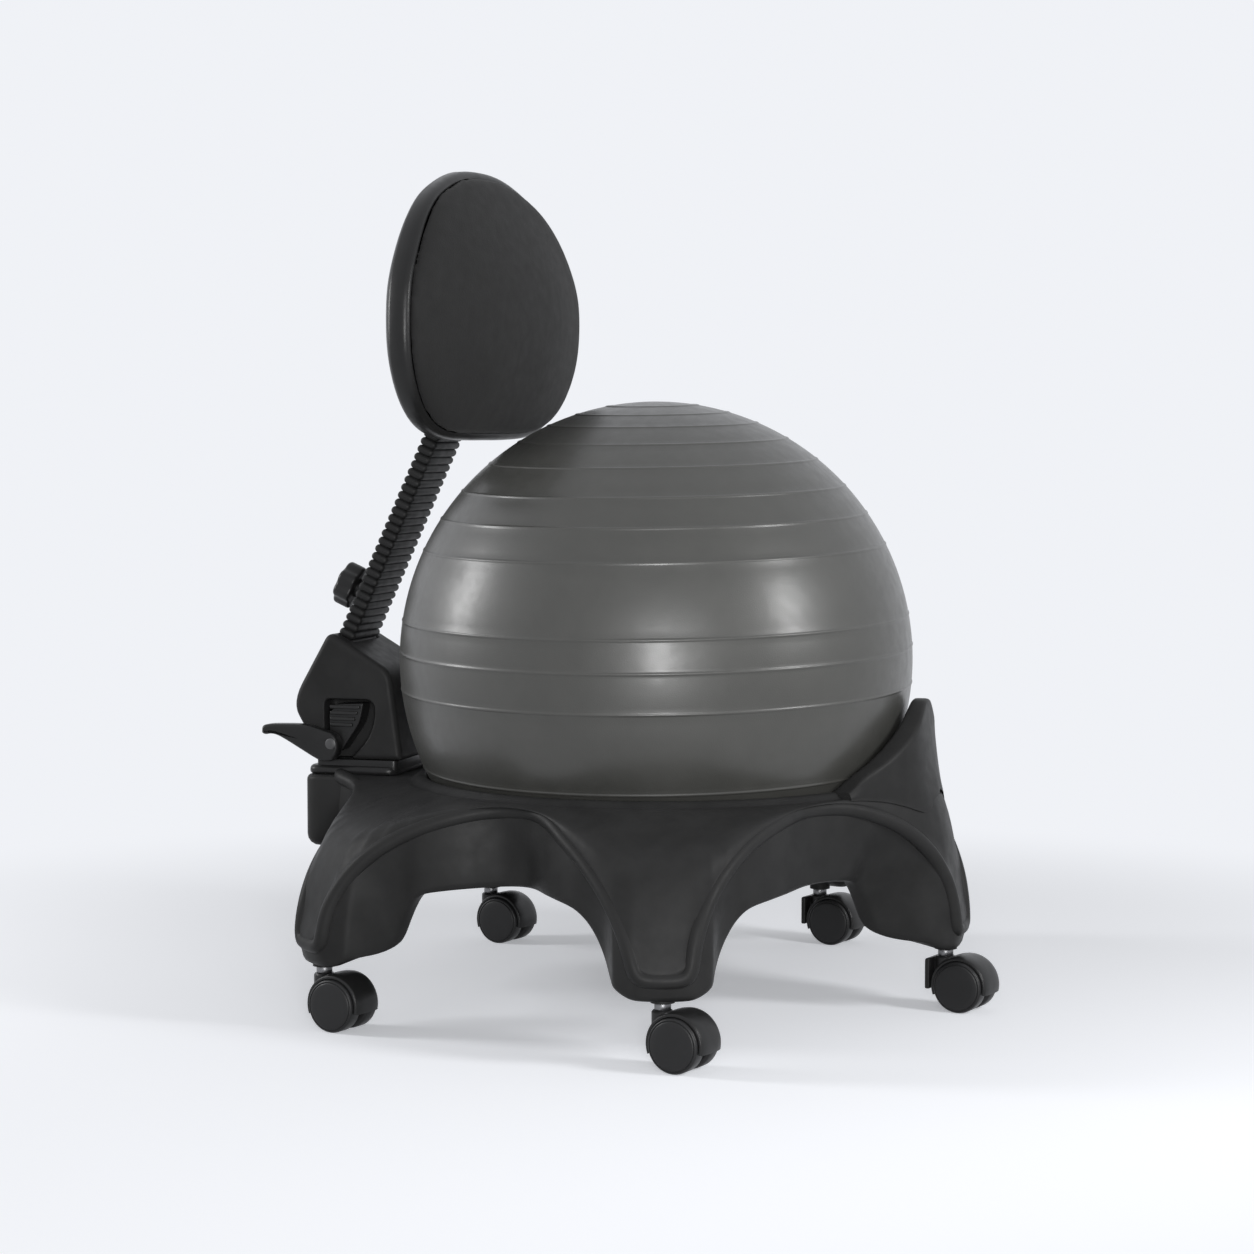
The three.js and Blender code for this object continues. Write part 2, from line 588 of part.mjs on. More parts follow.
const PLATE_BOTTOM = PLATFORM_TOP + REST_GAP;
const HOUSING_FLOOR = PLATE_BOTTOM + PLATE_THICKNESS + PLATE_STEP + REST_GAP;
const POST_FOOT_HEIGHT = HOUSING_TOP - POST_FOOT_DROP;
const postMatrix = new THREE.Matrix4()
  .makeTranslation(0, POST_FOOT_REAR, POST_FOOT_HEIGHT)
  .multiply(new THREE.Matrix4().makeRotationX(POST_LEAN * DEG));
const BELLOWS_START = -BELLOWS_SINK;

function carriagePlate() {
  const flange = upward(
    rectangle(-PLATE_HALF_WIDTH, PLATE_HALF_WIDTH, PLATE_FRONT, PLATE_REAR),
    PLATE_CORNER, PLATE_BOTTOM, PLATE_BOTTOM + PLATE_THICKNESS,
  );
  const pad = upward(
    rectangle(
      -PLATE_HALF_WIDTH + PLATE_STEP_INSET, PLATE_HALF_WIDTH - PLATE_STEP_INSET,
      PLATE_FRONT + PLATE_STEP_INSET, PLATE_REAR - PLATE_STEP_INSET * 3,
    ),
    PLATE_CORNER, PLATE_BOTTOM + PLATE_THICKNESS / 2, PLATE_BOTTOM + PLATE_THICKNESS + PLATE_STEP,
  );
  return piece("carriage_plate", geometryOf(joined(flange, pad)), MATERIALS.dark);
}

function carriageHousing() {
  const outline = housing_outline_shares.map(([a, b]) => [
    mix(HOUSING_FRONT, HOUSING_REAR, a), mix(HOUSING_FLOOR, HOUSING_TOP, b),
  ]);
  const body = solid(across(outline, HOUSING_ROUND, -HOUSING_HALF_WIDTH, HOUSING_HALF_WIDTH, HOUSING_ROUND / 2));
  // The well takes the end of the bellows, and the pocket below it the two bars.
  const well = block(
    -BELLOWS_HALF_WIDTH - WELL_GAP, BELLOWS_HALF_WIDTH + WELL_GAP,
    -BELLOWS_HALF_DEPTH - WELL_GAP, BELLOWS_HALF_DEPTH + WELL_GAP,
    BELLOWS_START - REST_GAP, BELLOWS_SINK * 5,
  ).applyMatrix4(postMatrix);
  const pocket = block(
    -BAR_HALF_WIDTH - RUN_GAP, BAR_HALF_WIDTH + RUN_GAP,
    -BAR_THICKNESS - RUN_GAP * 2, BAR_THICKNESS + REST_GAP * 1.5,
    -BAR_DEPTH - REST_GAP * 2, 0,
  ).applyMatrix4(postMatrix);
  const recess = block(
    -HOUSING_HALF_WIDTH - CUT_OVERRUN, -HOUSING_HALF_WIDTH + RECESS_DEPTH,
    RECESS_FRONT, RECESS_REAR, HOUSING_FLOOR - CUT_OVERRUN, RECESS_TOP,
  );
  const hollow = block(
    -HOUSING_HALF_WIDTH + RECESS_DEPTH + HOUSING_WALL, HOUSING_HALF_WIDTH - HOUSING_WALL,
    RECESS_FRONT, RECESS_REAR, HOUSING_FLOOR - CUT_OVERRUN, RECESS_TOP,
  );
  return piece("carriage_housing", geometryOf(cut(body, well, pocket, recess, hollow)), MATERIALS.base);
}

// Latch: a ribbed catch in the housing's side recess, and a cam lever on a pin.
function latchCatch() {
  const rise = (CATCH_TOP - CATCH_BOTTOM) / (CATCH_RIBS * 2);
  const rear = [];
  for (let i = 0; i <= CATCH_RIBS * 2; i++) {
    const z = CATCH_BOTTOM + i * rise;
    rear.push([CATCH_REAR - (i % 2 ? CATCH_RIB : 0), z]);
  }
  const outline = [[CATCH_FRONT + CATCH_TAPER, CATCH_BOTTOM], ...rear, [CATCH_FRONT, CATCH_TOP]];
  const x0 = -HOUSING_HALF_WIDTH;
  const body = across(outline, 0.5 * CATCH_RIB, x0 + REST_GAP, x0 + RECESS_DEPTH - REST_GAP, 0, 1);
  const bore = rod(LATCH_PIN_RADIUS + REST_GAP, 0, LATCH_PIN_IN + CUT_OVERRUN)
    .rotateY(90 * DEG)
    .translate(x0 - CUT_OVERRUN, LATCH_PIVOT_REAR, LATCH_PIVOT_HEIGHT);
  return piece("latch_catch", geometryOf(cut(solid(body), bore)), MATERIALS.dark);
}

function latchLever() {
  const outer = -HOUSING_HALF_WIDTH - RUN_GAP;
  const outline = latch_outline_shares.map(([a, b]) => [a * LATCH_LENGTH, b * LATCH_HEIGHT]);
  const body = across(outline, LATCH_ROUND * 2, outer - LATCH_THICKNESS, outer, LATCH_ROUND / 2, 2);
  const bore = rod(LATCH_PIN_RADIUS + RUN_GAP, outer - LATCH_THICKNESS - CUT_OVERRUN, outer + CUT_OVERRUN)
    .rotateY(90 * DEG);
  const lever = piece("latch_lever", geometryOf(cut(solid(body), bore)), MATERIALS.dark);
  const end = outer - LATCH_THICKNESS - REST_GAP;
  const pin = turned(
    [
      [0, end - LATCH_PIN_HEAD], [LATCH_PIN_HEAD_RADIUS, end - LATCH_PIN_HEAD],
      [LATCH_PIN_HEAD_RADIUS, end], [LATCH_PIN_RADIUS, end],
      [LATCH_PIN_RADIUS, -HOUSING_HALF_WIDTH + LATCH_PIN_IN - REST_GAP - CUT_OVERRUN],
      [0, -HOUSING_HALF_WIDTH + LATCH_PIN_IN - REST_GAP - CUT_OVERRUN],
    ],
    ROUND_SIDES,
  ).rotateY(90 * DEG);
  const group = new THREE.Group();
  group.add(lever, piece("latch_pin", pin, MATERIALS.steel));
  group.position.set(0, LATCH_PIVOT_REAR, LATCH_PIVOT_HEIGHT);
  return group;
}

// Post: two flat bars that slide face to face inside a ribbed bellows, clamped by a knob behind.

const BOSS_START = BELLOWS_START + BELLOWS_LENGTH + REST_GAP;
const BAR_TOP = BOSS_START + BAR_INTO_BOSS;
const SLOT_LOW = KNOB_ALONG - BACK_TRAVEL_UP - STUD_RADIUS - SLOT_SPARE;
const SLOT_HIGH = KNOB_ALONG + BACK_TRAVEL_DOWN + STUD_RADIUS + SLOT_SPARE;
const MOVING_BAR_LOW = SLOT_LOW - BAR_THICKNESS * 2;

function postBars() {
  const fixed = block(
    -BAR_HALF_WIDTH, BAR_HALF_WIDTH, REST_GAP / 2, BAR_THICKNESS + REST_GAP / 2,
    -BAR_DEPTH, SLOT_HIGH + BAR_HALF_WIDTH,
  );
  const hole = rod(STUD_RADIUS + RUN_GAP, -BAR_THICKNESS * 2, BAR_THICKNESS * 2)
    .rotateX(90 * DEG)
    .translate(0, 0, KNOB_ALONG);
  const moving = block(
    -BAR_HALF_WIDTH, BAR_HALF_WIDTH, -BAR_THICKNESS - REST_GAP / 2, -REST_GAP / 2,
    MOVING_BAR_LOW, BAR_TOP,
  );
  const slot = block(
    -STUD_RADIUS - RUN_GAP, STUD_RADIUS + RUN_GAP,
    -BAR_THICKNESS * 2, BAR_THICKNESS, SLOT_LOW, SLOT_HIGH,
  );
  const boltHoles = [-1, 1].map((side) =>
    rod(BOLT_RADIUS + REST_GAP, -BAR_THICKNESS * 2, BAR_THICKNESS * 2)
      .rotateX(90 * DEG)
      .translate(side * BOLT_SPREAD, 0, BOSS_START + BOLT_ALONG),
  );
  return [
    piece("post_fixed_bar", geometryOf(cut(solid(fixed), hole)), MATERIALS.steel),
    piece("post_sliding_bar", geometryOf(cut(solid(moving), slot, ...boltHoles)), MATERIALS.steel),
  ];
}

// A ring of eight points: a rectangle with its corners cut.
function octagon(halfWidth, halfDepth, corner, z) {
  const [w, d, c] = [halfWidth, halfDepth, corner];
  return [
    [w - c, -d], [w, -d + c], [w, d - c], [w - c, d], [-w + c, d], [-w, d - c], [-w, -d + c], [-w + c, -d],
  ].map(([x, y]) => V(x, y, z));
}

function bellows() {
  const rings = [];
  const pitch = BELLOWS_LENGTH / (BELLOWS_RIBS + 1);
  const outerRing = (z, sink) =>
    octagon(BELLOWS_HALF_WIDTH - sink, BELLOWS_HALF_DEPTH - sink, BELLOWS_CORNER, BELLOWS_START + z);
  const boreRing = (z) =>
    octagon(BELLOWS_BORE_HALF_WIDTH, BELLOWS_BORE_HALF_DEPTH, BELLOWS_CORNER / 2, BELLOWS_START + z);
  rings.push(outerRing(0, BELLOWS_RIB_DEPTH));
  for (let i = 0; i < BELLOWS_RIBS; i++) {
    rings.push(outerRing((i + 0.75) * pitch, 0), outerRing((i + 1.25) * pitch, BELLOWS_RIB_DEPTH));
  }
  rings.push(outerRing(BELLOWS_LENGTH, BELLOWS_RIB_DEPTH));
  const boreSteps = Math.ceil(BELLOWS_RIBS / 5);
  for (let i = boreSteps; i >= 0; i--) rings.push(boreRing((BELLOWS_LENGTH * i) / boreSteps));
  const tube = solid(skin(rings, true));
  const hole = rod(STUD_RADIUS + RUN_GAP * 2, -BELLOWS_HALF_DEPTH - CUT_OVERRUN, 0)
    .rotateX(90 * DEG)
    .translate(0, 0, KNOB_ALONG);
  return piece("post_bellows", geometryOf(cut(tube, hole)), MATERIALS.bellows);
}

function heightKnob() {
  const outline = [];
  const steps = KNOB_LOBES * 4;
  for (let i = 0; i < steps; i++) {
    const angle = (i / steps) * 360 * DEG;
    const r = KNOB_RADIUS - KNOB_LOBE * (0.5 - 0.5 * Math.cos(KNOB_LOBES * angle));
    outline.push(new THREE.Vector2(r * Math.cos(angle), r * Math.sin(angle)));
  }
  const hubStart = BELLOWS_HALF_DEPTH + REST_GAP;
  const faceStart = hubStart + KNOB_HUB_LENGTH;
  const disc = new THREE.ExtrudeGeometry(new THREE.Shape(outline), { depth: KNOB_THICKNESS, bevelEnabled: false })
    .translate(0, 0, faceStart);
  const hub = rod(KNOB_HUB_RADIUS, hubStart, faceStart + KNOB_LOBE);
  const bore = rod(STUD_RADIUS + REST_GAP, hubStart - CUT_OVERRUN, hubStart + STUD_IN_KNOB + REST_GAP);
  // The knob is turned about +Z and then laid along the rearward normal of the post.
  const lay = (g) => g.rotateX(-90 * DEG).translate(0, 0, KNOB_ALONG);
  const stud = rod(STUD_RADIUS, -BAR_THICKNESS - REST_GAP / 2, hubStart + STUD_IN_KNOB);
  return [
    piece("height_knob", lay(geometryOf(cut(joined(disc, hub), bore))), MATERIALS.dark),
    piece("height_knob_stud", lay(stud), MATERIALS.bright),
  ];
}

// Backrest

// The pad's outline as [across, up] points about its centre.
function padOutline() {
  const right = pad_outline_shares.map(([a, b]) => [a * PAD_HALF_WIDTH, (b - PAD_CENTRE_SHARE) * PAD_HEIGHT]);
  const left = right.slice(1, -1).reverse().map(([x, z]) => [-x, z]);
  const curve = new THREE.CatmullRomCurve3([...right, ...left].map(([x, z]) => V(x, 0, z)), true);
  return curve.getSpacedPoints(PAD_SIDES).slice(0, PAD_SIDES);
}

// A ring of the outline scaled by a share, drawn in by an inset and set at a depth behind the rim plane.
function padRing(outline, share, inset, depth) {
  return outline.map((p) => {
    const k = share * (1 - inset / p.length());
    return V(p.x * k, depth, p.z * k);
  });
}

// The pad is placed from the foot of its boss, where the bellows ends.
const bossFoot = V(0, 0, BOSS_START).applyMatrix4(postMatrix);
const padMatrix = new THREE.Matrix4()
  .makeTranslation(0, bossFoot.y - PAD_AHEAD, bossFoot.z - PAD_BELOW_BOSS + PAD_CENTRE_SHARE * PAD_HEIGHT)
  .multiply(new THREE.Matrix4().makeRotationZ(PAD_YAW * DEG));
const toPad = padMatrix.clone().invert().multiply(postMatrix);

function backrestShell() {
  const outline = padOutline();
  const outer = [
    ...[...shell_ring_shares].reverse().map(([a, d]) => padRing(outline, a, 0, d * SHELL_DEPTH)),
    padRing(outline, 1, 0, SHELL_BAND),
    padRing(outline, 1, CUSHION_INSET / 2, 0),
  ];
  const inner = [
    padRing(outline, 1, SHELL_WALL + CUSHION_INSET, 0),
    padRing(outline, 1, SHELL_WALL, SHELL_BAND - SHELL_WALL),
    ...shell_ring_shares.map(([a, d]) => padRing(outline, a, SHELL_WALL, d * SHELL_DEPTH - SHELL_WALL)),
  ];
  const dish = solid(skin([...outer, ...inner]));
  const boss = block(
    -BOSS_HALF_WIDTH, BOSS_HALF_WIDTH, -BOSS_HALF_DEPTH, BOSS_HALF_DEPTH,
    BOSS_START, BOSS_START + BOSS_LENGTH,
  ).applyMatrix4(toPad);
  const slot = block(
    -BAR_HALF_WIDTH - REST_GAP, BAR_HALF_WIDTH + REST_GAP,
    -BAR_THICKNESS - REST_GAP * 1.5, REST_GAP / 2,
    BOSS_START - CUT_OVERRUN, BAR_TOP + REST_GAP,
  ).applyMatrix4(toPad);
  const holes = [-1, 1].map((side) =>
    rod(BOLT_RADIUS + REST_GAP, -BOSS_HALF_DEPTH + SHELL_WALL / 2, BOSS_HALF_DEPTH + CUT_OVERRUN)
      .rotateX(-90 * DEG)
      .translate(side * BOLT_SPREAD, 0, BOSS_START + BOLT_ALONG)
      .applyMatrix4(toPad),
  );
  return piece("backrest_shell", geometryOf(cut(dish.add(solid(boss)), slot, ...holes)), MATERIALS.dark);
}

// Soft pad with drawn-in sides and a crown in its middle.
function backrestCushion() {
  const outline = padOutline();
  const rings = [
    padRing(outline, 1, CUSHION_INSET, -REST_GAP),
    ...cushion_ring_shares.map(([a, d]) =>
      padRing(outline, a, CUSHION_INSET, -REST_GAP - (d < 1 ? d * CUSHION_EDGE : mix(CUSHION_EDGE, CUSHION_CROWN, d - 1))),
    ),
  ];
  return piece("backrest_cushion", skin(rings), MATERIALS.cushion);
}

function barBolts() {
  return [-1, 1].map((side) => {
    const head = BOSS_HALF_DEPTH + REST_GAP;
    const bolt = turned(
      [
        [0, -BAR_THICKNESS * 1.5], [BOLT_RADIUS, -BAR_THICKNESS * 1.5], [BOLT_RADIUS, head],
        [BOLT_HEAD_RADIUS, head], [BOLT_HEAD_RADIUS, head + BOLT_HEAD], [0, head + BOLT_HEAD],
      ],
      ROUND_SIDES,
    )
      .rotateX(-90 * DEG)
      .translate(side * BOLT_SPREAD, 0, BOSS_START + BOLT_ALONG);
    return piece(side < 0 ? "bar_bolt_near" : "bar_bolt_far", bolt, MATERIALS.steel);
  });
}

// Casters, each in its own frame: stem axis on +Z, +X the way the wheels trail, floor at zero

function casterHood() {
  const arcPoints = (radius, list) => list.map((a) => [CASTER_TRAIL + radius * Math.cos(a * DEG), WHEEL_RADIUS + radius * Math.sin(a * DEG)]);
  const angles = [];
  for (let i = 0; i <= HOOD_STEPS; i++) angles.push(mix(HOOD_START, HOOD_END, i / HOOD_STEPS));
  const shell = [...arcPoints(HOOD_OUTER, angles), ...arcPoints(HOOD_OUTER - HOOD_WALL, [...angles].reverse())];
  const web = arcPoints(HOOD_OUTER - HOOD_WALL / 2, angles);
  // Extrudes an outline of [x, z] points across the caster.
  const wide = (points, half) =>
    new THREE.ExtrudeGeometry(new THREE.Shape(points.map(([x, z]) => new THREE.Vector2(x, z))), {
      depth: 2 * half,
      bevelEnabled: false,
    })
      .translate(0, 0, -half)
      .rotateX(90 * DEG);
  const boss = rod(HOOD_BOSS_RADIUS, HOOD_BOSS_BOTTOM, HOOD_BOSS_TOP);
  const wheelRoom = rod(HOOD_OUTER - HOOD_WALL, HOOD_WEB_HALF, WHEEL_OUTER, WHEEL_SIDES)
    .rotateX(90 * DEG)
    .translate(CASTER_TRAIL, 0, WHEEL_RADIUS);
  const otherRoom = rod(HOOD_OUTER - HOOD_WALL, -WHEEL_OUTER, -HOOD_WEB_HALF, WHEEL_SIDES)
    .rotateX(90 * DEG)
    .translate(CASTER_TRAIL, 0, WHEEL_RADIUS);
  const stemBore = rod(STEM_RADIUS + RUN_GAP, FOOT_HEIGHT - STEM_BELOW - REST_GAP, HOOD_BOSS_TOP + CUT_OVERRUN);
  const axleBore = rod(AXLE_RADIUS + RUN_GAP / 2, -WHEEL_INNER * 2, WHEEL_INNER * 2)
    .rotateX(90 * DEG)
    .translate(CASTER_TRAIL, 0, WHEEL_RADIUS);
  const body = joined(wide(shell, HOOD_HALF_WIDTH), wide(web, HOOD_WEB_HALF), boss);
  return geometryOf(cut(body, wheelRoom, otherRoom, stemBore, axleBore));
}

function casterStem() {
  const low = -STEM_BELOW;
  const collarLow = HOOD_BOSS_TOP - FOOT_HEIGHT + REST_GAP;
  return turned(
    [
      [0, low], [STEM_RADIUS, low], [STEM_RADIUS, collarLow], [STEM_COLLAR_RADIUS, collarLow],
      [STEM_COLLAR_RADIUS, -REST_GAP], [STEM_RADIUS, -REST_GAP], [STEM_RADIUS, STEM_LENGTH], [0, STEM_LENGTH],
    ],
    ROUND_SIDES,
  ).translate(0, 0, FOOT_HEIGHT);
}

// A wheel about +Z from its inner face outward, with a sunk disc face and a bore for the axle.
function casterWheel() {
  const width = WHEEL_OUTER - WHEEL_INNER;
  const bore = AXLE_RADIUS + REST_GAP;
  const blind = width - WHEEL_RIM_ROUND;
  return turned(
    [
      [0, blind], [bore, blind], [bore, 0], [WHEEL_RADIUS - WHEEL_RIM_ROUND, 0],
      [WHEEL_RADIUS, WHEEL_RIM_ROUND], [WHEEL_RADIUS, width - WHEEL_RIM_ROUND],
      [WHEEL_RADIUS - WHEEL_RIM_ROUND, width], [WHEEL_RADIUS - WHEEL_RIM_ROUND * 1.5, width - WHEEL_FACE_SINK],
      [0, width - WHEEL_FACE_SINK],
    ],
    WHEEL_SIDES,
  );
}

const BRAKE_SHELF_LOW = BRAKE_TOP - BRAKE_THICKNESS;

// Brake pedal on the stem's side of the hood: a plate that hangs beside the wheels from a short shelf.
function brakePedal() {
  const inner = -HOOD_BOSS_RADIUS - BRAKE_CLEAR;
  const outline = [
    [inner - BRAKE_THICKNESS, BRAKE_BOTTOM], [inner, BRAKE_BOTTOM], [inner, BRAKE_TOP - BRAKE_THICKNESS],
    [inner, BRAKE_TOP], [inner - BRAKE_SHELF / 2, BRAKE_TOP], [inner - BRAKE_THICKNESS, BRAKE_TOP - BRAKE_THICKNESS],
  ];
  return new THREE.ExtrudeGeometry(new THREE.Shape(outline.map(([x, z]) => new THREE.Vector2(x, z))), {
    depth: 2 * BRAKE_HALF_WIDTH,
    bevelEnabled: false,
  })
    .translate(0, 0, -BRAKE_HALF_WIDTH)
    .rotateX(90 * DEG);
}

function caster(leg, name, braked) {
  const group = new THREE.Group();
  group.position.copy(around(leg.reach, leg.angle, 0));
  group.rotation.z = CASTER_HEADING * DEG;
  group.add(piece(`caster_stem_${name}`, casterStem(), MATERIALS.bright));
  group.add(piece(`caster_hood_${name}`, casterHood(), MATERIALS.dark));
  const axle = new THREE.Group();
  axle.position.set(CASTER_TRAIL, 0, WHEEL_RADIUS);
  const reach = WHEEL_OUTER - WHEEL_RIM_ROUND - REST_GAP;
  axle.add(piece(`caster_axle_${name}`, rod(AXLE_RADIUS, -reach, reach).rotateX(90 * DEG), MATERIALS.steel));
  axle.add(piece(`caster_wheel_left_${name}`, casterWheel().rotateX(-90 * DEG).translate(0, WHEEL_INNER, 0), MATERIALS.wheel));
  axle.add(piece(`caster_wheel_right_${name}`, casterWheel().rotateX(90 * DEG).translate(0, -WHEEL_INNER, 0), MATERIALS.wheel));
  group.add(axle);
  if (braked) group.add(piece(`caster_brake_${name}`, brakePedal(), MATERIALS.dark));
  return group;
}

// Assembly

const chair = new THREE.Group();
chair.add(ringBase(), ballStop(), ballPieces());

const carriage = new THREE.Group();
carriage.add(carriagePlate(), carriageHousing(), latchCatch(), latchLever());
const post = new THREE.Group();
post.applyMatrix4(postMatrix);
post.add(...postBars(), bellows(), ...heightKnob(), ...barBolts());
const backrest = new THREE.Group();
backrest.applyMatrix4(padMatrix);
backrest.add(backrestShell(), backrestCushion());
carriage.add(post, backrest);
chair.add(carriage);

const CASTER_NAMES = ["front", "near_side", "near_rear", "far_rear", "far_side"];
const BRAKED = ["front", "far_side"];
LEGS.forEach((leg, i) => chair.add(caster(leg, CASTER_NAMES[i], BRAKED.includes(CASTER_NAMES[i]))));

// The origin is the middle of the footprint, on the floor.
chair.updateMatrixWorld(true);
const bounds = new THREE.Box3().setFromObject(chair, true);
const centre = bounds.getCenter(V(0, 0, 0));
chair.position.set(-centre.x, -centre.y, -bounds.min.z);
const group = new THREE.Group();
group.add(chair);

export default group;
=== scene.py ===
"""Looks of the balance ball chair.

Sizes are millimetres about the ball's upright axis, with +Z up, the front of the chair towards -Y and its latch
side towards -X. The frame gives the axis's place, and every mesh is turned into metres in the row frame.
"""

import logging
import math
from dataclasses import dataclass, field
from enum import Enum
from typing import Callable, Iterator, Sequence

import bmesh
import bpy
from mathutils import Matrix, Vector


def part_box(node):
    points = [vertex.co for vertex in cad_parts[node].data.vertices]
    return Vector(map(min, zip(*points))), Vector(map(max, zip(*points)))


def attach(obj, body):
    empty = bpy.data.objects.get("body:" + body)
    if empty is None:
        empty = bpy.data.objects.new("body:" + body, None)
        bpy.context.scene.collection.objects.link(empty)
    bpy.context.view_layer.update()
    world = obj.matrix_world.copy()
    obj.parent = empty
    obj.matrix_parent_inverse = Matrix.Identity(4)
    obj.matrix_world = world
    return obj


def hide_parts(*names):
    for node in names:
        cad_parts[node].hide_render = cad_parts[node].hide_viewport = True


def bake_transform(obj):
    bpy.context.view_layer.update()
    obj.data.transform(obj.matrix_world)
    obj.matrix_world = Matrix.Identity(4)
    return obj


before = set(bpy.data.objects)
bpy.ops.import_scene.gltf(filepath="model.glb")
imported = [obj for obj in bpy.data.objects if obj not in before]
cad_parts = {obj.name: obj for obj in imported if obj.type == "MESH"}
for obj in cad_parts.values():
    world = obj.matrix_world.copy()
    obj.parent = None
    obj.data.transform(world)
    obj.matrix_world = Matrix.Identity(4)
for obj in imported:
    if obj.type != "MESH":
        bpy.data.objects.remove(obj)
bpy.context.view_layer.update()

log = logging.getLogger("chair")
Point = tuple[float, float]
Corner = tuple[float, float, float]  # a point, and how far from it the corner's curve starts

MM = 0.001
BALL_RADIUS = 255.0
WELD = 2e-5  # metres
SHARP = math.radians(38)
SMOOTH = 1e3  # a corner's curve that runs into the next one
SHORTEST = 1e-6  # the shortest length that anything is divided by


def ball_centre() -> Vector:
    """Returns the ball's centre in the row frame, in metres."""
    low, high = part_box("ball")
    return Vector(((low.x + high.x) / 2, (low.y + high.y) / 2, high.z - BALL_RADIUS * MM))


CENTRE = ball_centre()
AXIS = Vector((CENTRE.x, CENTRE.y, 0.0))
BALL_HEIGHT = CENTRE.z / MM


def mix(a: float, b: float, t: float) -> float:
    """Returns the value a share t of the way from a to b."""
    return a + (b - a) * t


def around(radius: float, angle: float, z: float) -> Vector:
    """Returns the point at a distance from the ball's axis, at degrees from the front towards -X."""
    a = math.radians(angle)
    return Vector((-radius * math.sin(a), -radius * math.cos(a), z))


def cos_sin(degrees: float) -> Point:
    """Returns the cosine and the sine of an angle."""
    return math.cos(math.radians(degrees)), math.sin(math.radians(degrees))


def turn(degrees: float, axis: str) -> Matrix:
    """Returns the turn by an angle about one axis."""
    return Matrix.Rotation(math.radians(degrees), 4, axis)


def curve_point(before: Vector, start: Vector, end: Vector, after: Vector, t: float) -> Vector:
    """Finds a point of a smooth curve that goes through a row of points.

    Args:
        before: the point before the span.
        start: where the span starts.
        end: where the span ends.
        after: the point after the span.
        t: share of the way along the span.

    Returns:
        The point of the curve.
    """
    square = before * 2 - start * 5 + end * 4 - after
    cube = start * 3 - before - end * 3 + after
    return (start * 2 + (end - before) * t + square * t**2 + cube * t**3) / 2


def fillet(corners: Sequence[Corner], steps: int = 3) -> list[Point]:
    """Rounds the corners of a closed polygon.

    Args:
        corners: the corners, in order.
        steps: spans in each corner's curve.

    Returns:
        The rounded outline, with steps + 1 points for each corner.
    """
    out: list[Point] = []
    count = len(corners)
    for i, (x, y, length) in enumerate(corners):
        (px, py, _), (qx, qy, _) = corners[i - 1], corners[(i + 1) % count]
        a = min(0.5, length / max(SHORTEST, math.hypot(px - x, py - y)))
        b = min(0.5, length / max(SHORTEST, math.hypot(qx - x, qy - y)))
        start, end = (mix(x, px, a), mix(y, py, a)), (mix(x, qx, b), mix(y, qy, b))
        for k in range(steps + 1):
            t = k / steps
            s = 1 - t
            out.append(tuple(s * s * start[c] + 2 * s * t * (x, y)[c] + t * t * end[c] for c in (0, 1)))
    return out


def table_value(keys: Sequence[float], values: Sequence[float], key: float) -> float:
    """Reads a table, on a smooth curve through its entries.

    Args:
        keys: the entries' keys, rising.
        values: the entries' values.
        key: where the table is read.

    Returns:
        The value there, or the nearest entry's beyond the table's ends.
    """
    if key <= keys[0]:
        return values[0]
    for i in range(len(keys) - 1):
        if key <= keys[i + 1]:
            break
    else:
        return values[-1]
    width = keys[i + 1] - keys[i]

    def slope(j: int) -> float:
        """Finds the curve's slope at an entry.

        Args:
            j: which entry.

        Returns:
            The slope, which is 0 at the ends and where the values turn.
        """
        if j in (0, len(keys) - 1):
            return 0.0
        left = (values[j] - values[j - 1]) / (keys[j] - keys[j - 1])
        right = (values[j + 1] - values[j]) / (keys[j + 1] - keys[j])
        return 0.0 if left * right <= 0 else 2 * left * right / (left + right)

    t = (key - keys[i]) / width
    return (
        (2 * t**3 - 3 * t**2 + 1) * values[i]
        + (t**3 - 2 * t**2 + t) * width * slope(i)
        + (3 * t**2 - 2 * t**3) * values[i + 1]
        + (t**3 - t**2) * width * slope(i + 1)
    )


def rounded_rectangle(x0: float, x1: float, y0: float, y1: float, radius: float, steps: int = 6) -> list[Point]:
    """Returns a rectangle's outline with rounded corners."""
    return fillet([(x, y, radius) for x, y in ((x0, y0), (x1, y0), (x1, y1), (x0, y1))], steps)


def inset(outline: Sequence[Point], distance: float) -> list[Point]:
    """Moves an outline inwards.

    Args:
        outline: the outline, anticlockwise.
        distance: how far each point moves.

    Returns:
        The moved outline.
    """
    out: list[Point] = []
    count = len(outline)
    for i, (x, y) in enumerate(outline):
        before, after = outline[i - 1], outline[(i + 1) % count]
        along = Vector((after[0] - before[0], after[1] - before[1]))
        if along.length > SHORTEST / 1000:
            along.normalize()
        out.append((x - along.y * distance, y + along.x * distance))
    return out


